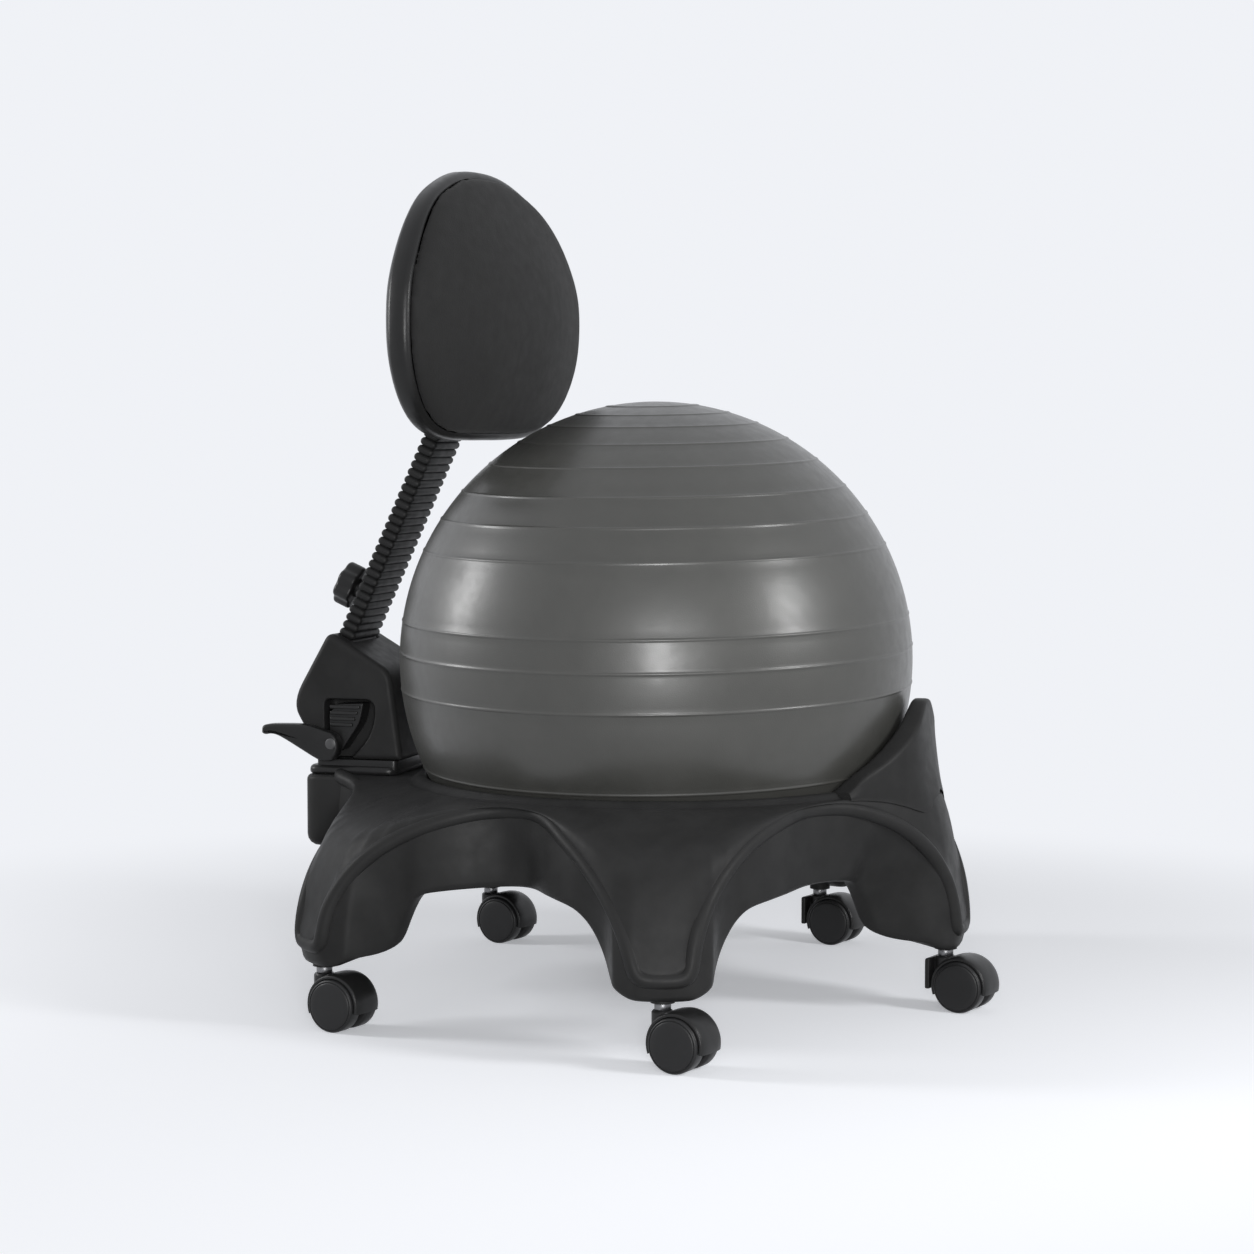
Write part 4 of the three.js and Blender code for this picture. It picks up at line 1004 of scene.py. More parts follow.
    def softened(self, leg: Leg, angle: float, half_span: float) -> Point:
        """Averages the ridge over nearby angles, for the leg's broad top.

        Args:
            leg: the leg.
            angle: degrees from the leg.
            half_span: degrees from the leg to mid-arch.

        Returns:
            The averaged ridge's radius and height.
        """
        places, spread = 5, 3
        weights = [(k, math.exp(-((k / spread) ** 2))) for k in range(-places, places + 1)]
        total = sum(w for _, w in weights)
        radius = height = 0.0
        for k, weight in weights:
            near = abs(angle + k * self.spine_softening / 2)
            near = near if near <= half_span else 2 * half_span - near
            here = self.lines(leg, near, half_span)
            radius += here.ridge * weight / total
            height += here.ridge_height * weight / total
        return radius, height

    def top(self, leg: Leg, angle: float, half_span: float) -> list[Point]:
        """Finds the control points of the rim and the leg's top.

        Args:
            leg: the leg.
            angle: degrees from the leg.
            half_span: degrees from the leg to mid-arch.

        Returns:
            The points as radius and height, from the seat's edge to the ridge.
        """
        here = self.lines(leg, angle, half_span)
        soft = self.softened(leg, angle, half_span)
        r0, z0 = self.shoulder
        spine = []
        for a, b in leg.spine:
            follow = a**self.spine_hold
            ridge, height = mix(soft[0], here.ridge, follow), mix(soft[1], here.ridge_height, follow)
            spine.append((mix(r0, ridge, a), z0 - b * (z0 - height)))
        return [
            (self.seat_radius, self.seat_height),
            (self.seat_radius + 3, self.seat_height + self.bead_rise + 0.4),
            (self.seat_radius + self.bead_width - 4, self.seat_height + self.bead_rise + 0.2),
            (self.seat_radius + self.bead_width, self.seat_height),
            (self.seat_radius + self.groove_out, self.seat_height - self.groove_drop),
            (r0, z0), *spine, (here.ridge, here.ridge_height),
        ]

    def section(self, leg: Leg, angle: float, half_span: float) -> list[Point]:
        """Finds the wall's closed section at one angle.

        Args:
            leg: the leg.
            angle: degrees from the leg.
            half_span: degrees from the leg to mid-arch.

        Returns:
            The section as radius and height.
        """
        here = self.lines(leg, angle, half_span)
        slip = math.degrees(self.wall / here.low) * (1 - angle / half_span)
        inner = self.lines(leg, angle + slip, half_span)
        inner_top = self.top(leg, angle + slip, half_span)
        inner_wall = mix(self.inner_wall_height, self.lip_height, min(1.0, here.share * 2))
        lip = self.seat_height - self.lip_drop
        lengths = (1.2, 3.5, 3.5, 3, 3, 6, SMOOTH, SMOOTH, SMOOTH, SMOOTH, 4)
        corners: list[Corner] = [(self.sphere_radius(lip), lip, 2)]
        corners += [(r, z, length) for (r, z), length in zip(self.top(leg, angle, half_span), lengths)]
        corners += [
            (here.ridge - self.ridge_step / 2, here.ridge_height - self.ridge_step, 3),
            ((here.ridge + here.low + self.band_bulge) / 2, (here.ridge_height + here.low_height) / 2, SMOOTH),
            (here.low, here.low_height, self.edge_round),
            (here.heel, here.heel_height, 5),
            (here.heel, here.heel_height + inner_wall, 1.5),
            (here.heel + self.wall, here.heel_height + inner_wall, 1.5),
            (here.heel + self.wall, inner.heel_height + self.wall, 3),
            (inner.low - self.wall, inner.low_height + self.wall, 4),
            ((inner.ridge + inner.low) / 2 - self.wall, (inner.ridge_height + inner.low_height) / 2, SMOOTH),
            (inner.ridge - self.wall, inner.ridge_height - self.wall / 2, 5),
            (inner_top[7][0] - self.wall / 2, inner_top[7][1] - self.wall, SMOOTH),
            (self.shoulder[0] - self.wall / 2, self.shoulder[1] - self.wall - 2, 5),
            (self.sphere_radius(lip) + self.wall, lip, 2),
        ]
        return fillet(corners)

    def angles(self, leg: Leg, half_span: float) -> list[float]:
        """Chooses the angles at which the base is measured.

        Args:
            leg: the leg.
            half_span: degrees from the leg to mid-arch.

        Returns:
            The angles from the leg to mid-arch, in degrees.
        """
        ridge_from, ridge_to = self.ridge_line(leg, half_span)
        found = [row[0] for row in self.low_path(leg, half_span)[::2]]
        ridge_steps, wide_arch, closest = 16, 40, 0.04
        flare_step, flare_steps = 1.4, 26
        for i in range(ridge_steps + 1):
            share = 1 - math.cos(math.pi / 2 * i / ridge_steps) ** (2 / self.ridge_power)
            x, y = (mix(ridge_from[c], ridge_to[c], share) for c in (0, 1))
            found.append(math.degrees(math.atan2(y, x)))
        if half_span > wide_arch:
            found.extend(half_span - flare_step * i for i in range(flare_steps))
        for aside in self.corner_asides:
            found.append(math.degrees(math.asin(aside / (leg.reach - self.foot_corner_back))))
        kept: list[float] = []
        for angle in sorted(found):
            if not kept or angle - kept[-1] > closest:
                kept.append(min(angle, half_span))
        return kept

    def stations(self) -> Iterator[tuple[Leg, float, float]]:
        """Goes round the base, from one place where it is measured to the next.

        Yields:
            The nearest leg, the angle from it with its sign, and the degrees from the leg to mid-arch.
        """
        for i, leg in enumerate(LEGS):
            before = ((leg.angle - LEGS[i - 1].angle) % 360) / 2
            after = ((LEGS[(i + 1) % len(LEGS)].angle - leg.angle) % 360) / 2
            for angle in reversed(self.angles(leg, before)[1:]):
                if angle < before - 0.01:
                    yield leg, -angle, before
            for angle in self.angles(leg, after):
                yield leg, angle, after

    def ridge_path(self) -> list[Vector]:
        """Finds the raised bead's line, evened and rounded at the feet's corners.

        Returns:
            The closed line's points.
        """
        raw = []
        for leg, angle, half in self.stations():
            here = self.lines(leg, abs(angle), half)
            sink = self.ridge_bead_sink
            raw.append(around(here.ridge - sink, leg.angle + angle, here.ridge_height - sink))
        even: list[Vector] = []
        for i, a in enumerate(raw):
            b = raw[(i + 1) % len(raw)]
            count = max(1, round((b - a).length / self.ridge_spacing))
            even.extend(a.lerp(b, k / count) for k in range(count))
        for _ in range(self.ridge_evening):
            even = [(even[i - 1] + even[i] * 2 + even[(i + 1) % len(even)]) / 4 for i in range(len(even))]
        return even

    def bead(self) -> Solid:
        """Makes the raised bead that follows the ridge round all the legs.

        Returns:
            The bead.
        """
        path, sides = self.ridge_path(), 12
        rings = []
        for i, p in enumerate(path):
            along = (path[(i + 1) % len(path)] - path[i - 1]).normalized()
            out = Vector((p.x, p.y, 0)).normalized()
            out = (out - along * out.dot(along)).normalized()
            up = along.cross(out)
            angles = [2 * math.pi * k / sides for k in range(sides)]
            rings.append([p + (out * math.cos(a) + up * math.sin(a)) * self.ridge_bead_radius for a in angles])
        return Solid().loft(rings, True)

    def build(self) -> None:
        """Makes the base, its bead and its rear block."""
        rings = [
            [around(r, leg.angle + angle, z) for r, z in self.section(leg, abs(angle), half)]
            for leg, angle, half in self.stations()
        ]
        for _ in range(self.evening):
            rings = [
                [(a + b * 2 + c) / 4 for a, b, c in zip(rings[i - 1], rings[i], rings[(i + 1) % len(rings)])]
                for i in range(len(rings))
            ]
        set_in(Solid().loft(rings, True).build("base_moulding"), BASE_MOULDING, "base", "base_shell")
        set_in(self.bead().build("base_ridge_bead"), BASE_MOULDING, "base")
        outline = rounded_rectangle(
            -self.block_half_width, self.block_half_width, self.block_front, self.block_rear, self.block_corner,
        )
        block = Solid().slab(outline, self.block_bottom, self.block_top, 12, 5).build("rear_block")
        set_in(block, BASE_MOULDING, "base")
        bosses = Solid()
        for leg in LEGS:
            bosses.turned(self.socket, 32, Matrix.Translation(around(leg.reach, leg.angle, self.foot_height)))
        set_in(bosses.build("stem_sockets"), BASE_MOULDING, "base")


@dataclass
class BallStop:
    """The upright tongue on the front leg that keeps the ball from rolling forward.

    Attributes:
        base: the base that it stands on.
        half_angle: degrees from its middle to its end.
        tip_height: height of its tip.
        tip_radius: the ball's axis to the tip's outer face.
        ball_gap: room between it and the ball.
        edge: thickness of its ends.
        rows: sections in each half.
        crowding: how much closer the sections lie near the middle.
        proud: how far its foot stands above the leg.
        angle_shares: shares of the half angle, for the two tables that follow.
        rise_shares: share of the full height at each.
        foot_shares: share of the leg's top at which the foot ends, at each.
    """

    base: RingBase
    half_angle: float = 29.0
    tip_height: float = 303.0
    tip_radius: float = 277.0
    ball_gap: float = 3.0
    edge: float = 6.0
    rows: int = 24
    crowding: float = 1.2
    proud: float = 0.9
    angle_shares: tuple[float, ...] = (0, 0.07, 0.16, 0.3, 0.41, 0.51, 0.67, 0.92, 1)
    rise_shares: tuple[float, ...] = (1, 0.985, 0.9, 0.71, 0.585, 0.47, 0.3, 0.08, 0)
    foot_shares: tuple[float, ...] = (0.66, 0.68, 0.7, 0.8, 0.84, 0.84, 0.84, 0.84, 0.84)

    def section(self, side: float) -> list[Point]:
        """Finds the tongue's closed section.

        Args:
            side: share of its half angle.

        Returns:
            The section as radius and height.
        """
        leg = LEGS[0]
        rise = table_value(self.angle_shares, self.rise_shares, side)
        foot_share = table_value(self.angle_shares, self.foot_shares, side)
        top = self.base.top(leg, self.half_angle * side, LEGS[1].angle / 2)
        knee, ridge = top[7], top[8]
        along = (foot_share - leg.spine[1][0]) / (leg.spine[2][0] - leg.spine[1][0])
        foot = (mix(knee[0], ridge[0], along), mix(knee[1], ridge[1], along))
        foot = (foot[0] + self.proud * 0.7, foot[1] + self.proud)
        floor = top[2][1]
        edge = self.edge * min(1.0, 0.15 + rise * 6)
        tip = mix(floor + edge, self.tip_height, rise)
        tip_out = mix(foot[0], self.tip_radius, rise)

        def inner(share: float) -> Point:
            """Returns a point of the face towards the ball."""
            z = mix(floor, tip, share)
            return self.base.sphere_radius(z, self.ball_gap), z

        tip_in = inner(1)[0]
        return fillet([
            (*inner(0), 1), (*top[4], 1), (*top[6], 1), (*knee, 1), (*foot, 1.5),
            (foot[0] - 0.6, foot[1] + edge / 2, 2),
            (mix(foot[0], min(tip_out, foot[0]), 0.75), mix(foot[1], tip, 0.35), SMOOTH),
            (mix(tip_out, tip_in, 0.1), mix(foot[1], tip, 0.8), SMOOTH),
            (mix(tip_out, tip_in, 0.12), tip, 3.5), (mix(tip_out, tip_in, 0.85), tip, 3.5),
            (*inner(0.6), SMOOTH), (*inner(0.3), SMOOTH),
        ])

    def build(self) -> None:
        """Makes the tongue."""
        rings = []
        for i in range(-self.rows, self.rows + 1):
            side = abs(i / self.rows) ** self.crowding
            angle = math.copysign(side * self.half_angle, i)
            rings.append([around(r, angle, z) for r, z in self.section(side)])
        set_in(Solid().loft(rings).build("ball_stop_tongue"), BASE_MOULDING, "base", "front_ball_stop")


SIDEWAYS = Matrix(((0, 0, 1, 0), (1, 0, 0, 0), (0, 1, 0, 0), (0, 0, 0, 1)))  # outline (y, z) extruded along X
POST_LEAN = 24.5
POST_FOOT = (0, 317.5, 350)
POST = Matrix.Translation(POST_FOOT) @ turn(POST_LEAN, "X")


@dataclass
class Carriage:
    """The sliding rear carriage: its plate, the housing on it, and the ribbed catch of the latch.

    Places along the chair are distances back of the ball's axis.

    Attributes:
        plate_front: place of the plate's front.
        plate_rear: place of its rear.
        plate_half_width: half its width.
        plate_bottom: height of its underside.
        plate_thickness: its thickness.
        plate_step: height of the step on it, on which the housing stands.
        half_width: half the housing's width.
        front: place of the housing's front.
        rear: place of the housing's rear.
        floor: height of its underside.
        height: height of its top.
        outline: its corners from the side, as shares of its length and height, with their curves.
        recess: the recess's corners from the side, as place, height and curve.
        recess_depth: depth of the recess.
        well_half: half the width and half the depth of the well for the bellows.
        well_start: where the well starts along the post.
        well_end: where it ends.
        skin: span of the housing's even mesh, which rounds its edges.
        catch_low: height of the catch's foot.
        catch_high: height of its top.
        catch_front: place of its front.
        catch_rear: place of its rear.
        catch_taper: how far its front leans back at the foot.
        catch_gap: room between the catch and the recess.
        catch_ribs: ribs across its upper face.
        rib_pitch: distance between them.
    """

    plate_front: float = 254.0
    plate_rear: float = 349.0
    plate_half_width: float = 62.0
    plate_bottom: float = 216.8
    plate_thickness: float = 9.0
    plate_step: float = 6.0
    half_width: float = 58.0
    front: float = 249.0
    rear: float = 367.0
    floor: float = 232.1
    height: float = 361.0
    outline: tuple[Corner, ...] = (
        (0.0, 0.0, 4), (0.77, 0.0, 8), (0.87, 0.22, 20), (1.01, 0.43, 24), (0.66, 1.0, 9), (0.105, 0.7, 12),
    )
    recess: tuple[Corner, ...] = (
        (316.0, 222.0, 3), (331.0, 222.0, 2), (331.0, 293.0, 6), (277.0, 293.0, 10), (276.5, 272.0, 12),
        (284.0, 252.0, 12), (300.0, 235.0, 8),
    )
    recess_depth: float = 25.0
    well_half: Point = (39.2, 10.2)
    well_start: float = -9.3
    well_end: float = 60.0
    skin: float = 1.25
    catch_low: float = 240.0
    catch_high: float = 289.0
    catch_front: float = 290.0
    catch_rear: float = 327.0
    catch_taper: float = 24.0
    catch_gap: float = 0.3
    catch_ribs: int = 4
    rib_pitch: float = 6.0

    def build(self) -> None:
        """Makes the plate, the housing and the catch."""
        plate = Solid().slab(
            rounded_rectangle(-self.plate_half_width, self.plate_half_width, self.plate_front, self.plate_rear, 14),
            self.plate_bottom, self.plate_bottom + self.plate_thickness, 3, 4.5,
        )
        skirt = rounded_rectangle(-self.half_width, self.half_width, self.plate_front, self.plate_rear - 9, 6)
        step_top = self.plate_bottom + self.plate_thickness + self.plate_step
        plate.slab(skirt, self.plate_bottom + 4, step_top, 1, 0.4)
        set_in(plate.build("slide_plate"), DARK_MOULDING, "carriage", "carriage_plate")
        self.housing()
        self.catch()

    def housing(self) -> None:
        """Makes the sloped housing, with its side recess and the well for the bellows."""
        outline = fillet([
            (mix(self.front, self.rear, a), mix(self.floor, self.height, b), length) for a, b, length in self.outline
        ], 6)
        body = Solid().slab(outline, -self.half_width, self.half_width, 6, 6, SIDEWAYS, 5).build("rear_housing")
        mouth = Solid().slab(
            fillet(self.recess, 5), -self.half_width - 9, -self.half_width + self.recess_depth, 0.5, 5, SIDEWAYS,
        ).build("recess_cut")
        w, d = self.well_half
        mouth_of_well = rounded_rectangle(-w, w, -d, d, 5)
        well = Solid().slab(mouth_of_well, self.well_start, self.well_end, 0.5, 0.5, POST).build("well_cut")
        carve(body, [mouth, well], math.radians(30))
        even = body.modifiers.new("Even", "REMESH")
        even.mode = "VOXEL"
        even.voxel_size = self.skin * MM
        soft = body.modifiers.new("Soft", "SMOOTH")
        soft.factor, soft.iterations = 0.5, 4
        settle(body, math.pi)
        set_in(body, BASE_MOULDING, "carriage", "carriage_housing")

    def catch(self) -> None:
        """Makes the leaning catch in the recess, with ribs across its upper face."""
        low, high, front, rear = self.catch_low, self.catch_high, self.catch_front, self.catch_rear
        outline = fillet([
            (front + self.catch_taper, low, 3), (rear - 2.5, low, 2), (rear, (low + high) / 2, 6),
            (rear, high - 11, 3), (rear - 9, high - 1.5, 3), (front, high, 2.5), (front + 4, high - 20, 8),
        ], 4)
        outer, inner = -self.half_width + self.catch_gap, -self.half_width + self.recess_depth - self.catch_gap
        body = Solid().slab(outline, outer + 2.2, inner, 1.2, 1, SIDEWAYS)
        for i in range(self.catch_ribs):
            z = high - 4.0 - self.rib_pitch * i
            across = max(0.0, (high - z) / (high - low)) * self.catch_taper
            rib = rounded_rectangle(front + 1.5 + across * 0.9, rear - 1.6, z - 2.0, z + 1.6, 1.5, 3)
            body.slab(rib, outer, outer + 4, 0.9, 0.1, SIDEWAYS, 3)
        set_in(body.build("ribbed_catch", math.radians(45)), DARK_MOULDING, "carriage", "latch_catch")


@dataclass
class Latch:
    """The cam lever on the near side, and its hinge pin.

    Attributes:
        pivot: the hinge's distance back of the ball's axis, and its height.
        inner_face: place of the lever's inner face along X.
        thickness: the lever's thickness.
        length: the hinge to the lever's end.
        height: height of the lever's head.
        outline: its corners from the side, as shares of its length and height, with their curves.
        pin_end: place of the pin's inner end along X.
    """

    pivot: Point = (318.5, 249.0)
    inner_face: float = -58.6
    thickness: float = 14.0
    length: float = 75.0
    height: float = 36.0
    outline: tuple[Corner, ...] = (
        (1.005, 0.25, 1.2), (1.0, 0.46, 3.5), (0.88, 0.51, 10), (0.38, 0.53, 16), (0.13, 0.37, 10), (-0.05, 0.26, 6),
        (-0.1, 0.0, 6), (-0.09, -0.25, 6), (-0.02, -0.5, 5), (0.15, -0.51, 5), (0.27, -0.39, 6), (0.74, 0.17, 14),
        (0.86, 0.24, 6), (0.96, 0.2, 2),
    )
    pin_end: float = -50.0

    def build(self) -> None:
        """Makes the lever and the pin."""
        place = Matrix.Translation((0, *self.pivot)) @ SIDEWAYS
        outline = fillet([(a * self.length, b * self.height, length) for a, b, length in self.outline], 5)
        outer = self.inner_face - self.thickness
        lever = Solid().slab(outline, outer, self.inner_face, 3.5, 1.5, place, 5)
        set_in(lever.build("cam_lever"), DARK_MOULDING, "latch", "latch_lever")
        end = outer - 0.3
        profile = [
            (0, end - 2), (4, end - 2), (5.5, end - 1.2), (5.5, end), (3, end), (3, self.pin_end), (0, self.pin_end),
        ]
        turned = Matrix.Translation((0, *self.pivot)) @ turn(90, "Y")
        set_in(Solid().turned(profile, 32, turned).build("latch_hinge_pin"), DARK_STEEL, "carriage", "latch_pin")


@dataclass
class Post:
    """The ribbed bellows round the post's bars, and the lobed height knob.

    Attributes:
        start: where the bellows starts along the post.
        length: its length.
        half_width: half its width.
        half_depth: half its depth.
        corner: radius of its corners.
        ribs: how many ribs it has.
        rib_depth: how far the grooves between them draw in.
        rib_rows: rows of faces in each rib.
        rib_fullness: how square a rib is; 1 is a plain wave, and less is squarer.
        stretch: shares of its length between which it stretches.
        knob_along: where the knob is along the post.
        knob_radius: radius of the knob's lobes.
        knob_lobe: how far the hollows between the lobes draw in.
        knob_lobes: how many lobes it has.
        knob_thickness: its thickness.
        hub_length: length of the hub behind it.
    """

    start: float = -9.0
    length: float = 246.0
    half_width: float = 38.0
    half_depth: float = 9.0
    corner: float = 4.0
    ribs: int = 28
    rib_depth: float = 2.6
    rib_rows: int = 8
    rib_fullness: float = 0.55
    stretch: Point = (0.06, 0.97)
    knob_along: float = 47.7
    knob_radius: float = 23.0
    knob_lobe: float = 2.6
    knob_lobes: int = 7
    knob_thickness: float = 19.0
    hub_length: float = 10.0

    def ring(self, z: float, sink: float) -> list[Vector]:
        """Makes one ring of the bellows.

        Args:
            z: its place along the post.
            sink: how far it is drawn in.

        Returns:
            The ring's points.
        """
        w, d = self.half_width - sink, self.half_depth - sink
        outline = rounded_rectangle(-w, w, -d, d, self.corner, 4)
        return [Vector((x, y, z)) for x, y in outline]

    def bellows(self) -> None:
        """Makes the bellows, which stretches between the carriage and the backrest."""
        pitch, rows = self.length / (self.ribs + 1), self.rib_rows
        rings = [self.ring(self.start, self.rib_depth)]
        for i in range(rows * self.ribs + 1):
            z = self.start + pitch / 2 + i * pitch / rows
            swell = abs(math.sin(math.pi * i / rows)) ** self.rib_fullness
            rings.append(self.ring(z, self.rib_depth * (1 - swell)))
        rings.append(self.ring(self.start + self.length, self.rib_depth))
        piece = Solid().loft(rings, False, POST).build("ribbed_bellows", math.radians(80))
        dress(piece, BELLOWS_RUBBER)
        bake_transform(piece)
        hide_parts("post_bellows")
        log.info("%s: %d faces", piece.name, len(piece.data.polygons))

    def knob(self) -> None:
        """Makes the lobed knob behind the post."""
        lay = POST @ Matrix.Translation((0, 0, self.knob_along)) @ turn(-90, "X")
        steps = self.knob_lobes * 12
        outline = []
        for i in range(steps):
            a = 2 * math.pi * i / steps
            r = self.knob_radius - self.knob_lobe * (0.5 - 0.5 * math.cos(self.knob_lobes * a)) ** 1.5
            outline.append((r * math.cos(a), r * math.sin(a)))
        hub = self.half_depth + 0.3
        face = hub + self.hub_length
        top = face + self.knob_thickness
        body = Solid().slab(outline, face, top, 2.5, 4, lay, 5)
        body.turned([(0, hub), (9.5, hub), (10, hub + 0.6), (10, face + 1), (13, face + 3), (0, face + 3)], 40, lay)
        body.turned([(0, top - 1), (12, top - 1), (12, top - 0.6), (10.5, top), (0, top)], 40, lay)
        set_in(body.build("lobed_knob", math.radians(50)), DARK_MOULDING, "knob", "height_knob")

    def build(self) -> None:
        """Makes the bellows and the knob, and finishes the bars and the stud inside them."""
        self.bellows()
        self.knob()
        for node, finish in (
            ("post_fixed_bar", DARK_STEEL), ("post_sliding_bar", DARK_STEEL), ("height_knob_stud", PLATED_STEEL),
        ):
            finish_node(node, finish)


def finish_node(node: str, finish: Finish) -> None:
    """Gives a CAD node that stays shown its finish.

    Args:
        node: the node's name.
        finish: its finish.
    """
    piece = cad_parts[node]
    material = finish.material(finish.slot + "_finish")
    if not piece.material_slots:
        piece.data.materials.append(material)
    for slot in piece.material_slots:
        slot.material = material


@dataclass
class Backrest:
    """The backrest: a dished back panel with the boss for the post, and a padded cushion.

    Attributes:
        half_width: half the panel's width.
        height: its height.
        bottom: height of its lowest point above the floor.
        rim: the ball's axis to its rim.
        yaw: degrees by which it is turned about the upright.
        centre_share: share of its height at which its centre lies.
        band: depth of the panel's rim band.
        depth: depth of the panel.
        wall: thickness of the panel.
        inset: width of the rim that shows round the cushion.
        overlap: how far the cushion covers the rim.
        held: depth of the cushion's side that doesn't swell.
        bend_top: how far the rim bends back at the top.
        bend_low: how far it bends back at the bottom.
        sides: points round the outline.
        rim_rows: rows of the rim, as distance drawn in and depth.
        outline: the right half of the outline, as shares of half its width and of its height.
        back_rows: rows of the panel's back, as share of the outline and of the depth.
        front_rows: rows of the cushion's front, as share of the outline and height of its crown.
        boss_start: where the boss for the post starts along it.
        boss_length: the boss's length.
        boss_half: half its width and half its depth.
        bolt_rise: the boss's start to the bolts.
        bolt_aside: the post's middle to each bolt.
        bolt: a bolt's profile, as radius and height.
    """

    half_width: float = 190.0
    height: float = 268.0
    bottom: float = 553.0
    rim: float = 166.0
    yaw: float = -8.0
    centre_share: float = 0.45
    band: float = 19.0
    depth: float = 50.0
    wall: float = 4.5
    inset: float = 7.5
    overlap: float = 1.1
    held: float = 6.5
    bend_top: float = 15.0
    bend_low: float = 8.0
    sides: int = 120
    rim_rows: tuple[Point, ...] = ((0.0, 9.0), (0.3, 6.0), (1.2, 3.4), (2.8, 1.5), (4.8, 0.5), (6.8, 0.4), (7.9, 1.2))
    outline: tuple[Point, ...] = (
        (0, 1), (0.22, 0.99), (0.43, 0.95), (0.62, 0.888), (0.775, 0.797), (0.9, 0.68), (0.98, 0.56), (1, 0.43),
        (0.98, 0.3), (0.91, 0.19), (0.8, 0.1), (0.66, 0.042), (0.48, 0.01), (0.24, 0.001), (0, 0),
    )
    back_rows: tuple[Point, ...] = (
        (1.0, 0.38), (0.99, 0.45), (0.965, 0.53), (0.92, 0.63), (0.85, 0.73), (0.75, 0.82), (0.62, 0.89),
        (0.46, 0.945), (0.3, 0.98), (0.15, 0.995), (0.04, 1.0),
    )
    front_rows: tuple[Point, ...] = (
        (1.0, 0.0), (0.998, 2.4), (0.994, 5.6), (0.982, 9.6), (0.955, 13.4), (0.91, 17.2), (0.85, 20.0), (0.77, 23.6),
        (0.68, 27.6), (0.58, 31.5), (0.48, 34.8), (0.36, 37.8), (0.24, 39.8), (0.12, 40.8), (0.03, 41.0),
    )
    boss_start: float = 237.3
    boss_length: float = 56.0
    boss_half: Point = (40.0, 11.0)
    bolt_rise: float = 13.0
    bolt_aside: float = 18.0
    bolt: tuple[Point, ...] = (
        (0, 0), (3, 0), (3, 11.3), (6, 11.3), (6, 13.6), (5.2, 14.8), (3.4, 15.3), (2, 15.3), (2, 14), (0, 14),
    )

    @property
    def place(self) -> Matrix:
        """Where the pad stands, its rim in its own XZ plane."""
        up = self.bottom + self.centre_share * self.height
        return Matrix.Translation((0, self.rim, up)) @ turn(self.yaw, "Z")

    def rim_points(self) -> list[Vector]:
        """Finds the outline about its centre.

        Returns:
            Its points, evenly spaced.
        """
        right = [Vector((a * self.half_width, 0, (b - self.centre_share) * self.height)) for a, b in self.outline]
        loop = right + [Vector((-p.x, 0, p.z)) for p in reversed(right[1:-1])]
        count, steps = len(loop), 16
        fine: list[Vector] = []
        for i in range(count):
            near = [loop[(i + k) % count] for k in (-1, 0, 1, 2)]
            fine.extend(curve_point(*near, k / steps) for k in range(steps))
        lengths = [0.0]
        for i, p in enumerate(fine):
            lengths.append(lengths[-1] + (fine[(i + 1) % len(fine)] - p).length)
        out, i = [], 0
        for k in range(self.sides):
            goal = lengths[-1] * k / self.sides
            while lengths[i + 1] < goal:
                i += 1
            out.append(fine[i].lerp(fine[(i + 1) % len(fine)], (goal - lengths[i]) / (lengths[i + 1] - lengths[i])))
        return out

    def ring(self, share: float, drawn_in: float, depth: float) -> list[Vector]:
        """Makes one ring of the panel or the cushion.

        Args:
            share: how much the outline is scaled.
            drawn_in: how far it is drawn in.
            depth: how far it lies behind the bowed rim.

        Returns:
            The ring's points.
        """
        out = []
        for p in self.rim_points():
            k = share * (1 - drawn_in / p.length)
            z = p.z * k
            off = z / self.height - 0.05
            bend = (self.bend_top if off > 0 else self.bend_low) * (off * 2) ** 2
            out.append(Vector((p.x * k, depth + bend * max(0.0, 1 - depth / self.depth), z)))
        return out

    def panel(self) -> None:
        """Makes the back panel with its boss, and the two bolts in it."""
        outer = [self.ring(share, 0, deep * self.depth) for share, deep in reversed(self.back_rows)]
        outer += [self.ring(1, d, y) for d, y in self.rim_rows]
        inner = [self.ring(1, self.inset + 0.6, 2.4), self.ring(1, self.inset + 0.8, self.band)]
        inner += [self.ring(share, self.wall, deep * self.depth - self.wall) for share, deep in self.back_rows[2:]]
        body = Solid().loft(outer + inner, False, self.place)
        w, d = self.boss_half
        body.slab(
            rounded_rectangle(-w, w, -d, d, 5), self.boss_start, self.boss_start + self.boss_length, 1.5, 6, POST,
        )
        set_in(body.build("back_panel"), DARK_MOULDING, "backrest", "backrest_shell")
        for side, name in ((-self.bolt_aside, "near"), (self.bolt_aside, "far")):
            lay = POST @ Matrix.Translation((side, 0, self.boss_start + self.bolt_rise)) @ turn(-90, "X")
            bolt = Solid().turned(self.bolt, 32, lay).build(f"panel_bolt_{name}")
            set_in(bolt, DARK_STEEL, "backrest", f"bar_bolt_{name}")

    def cushion(self) -> None:
        """Makes the padded cushion and swells it."""
        rows = [self.ring(share, self.inset - self.overlap, 1.2 - depth * 0.95) for share, depth in self.front_rows]
        piece = Solid().loft(rows, False, self.place).build("back_cushion", math.pi)
        Swelling(pinned=lambda p: self.depth_of(p) > -self.held, most=5.0).apply(piece)
        set_in(piece, PAD_COVER, "backrest", "backrest_cushion")

    def depth_of(self, point: Vector) -> float:
        """Returns how far behind the rim plane a point of the row frame lies, in millimetres."""
        return (self.place.inverted() @ ((point - AXIS) / MM)).y

    def build(self) -> None:
        """Makes the panel and the cushion."""
        self.panel()
        self.cushion()


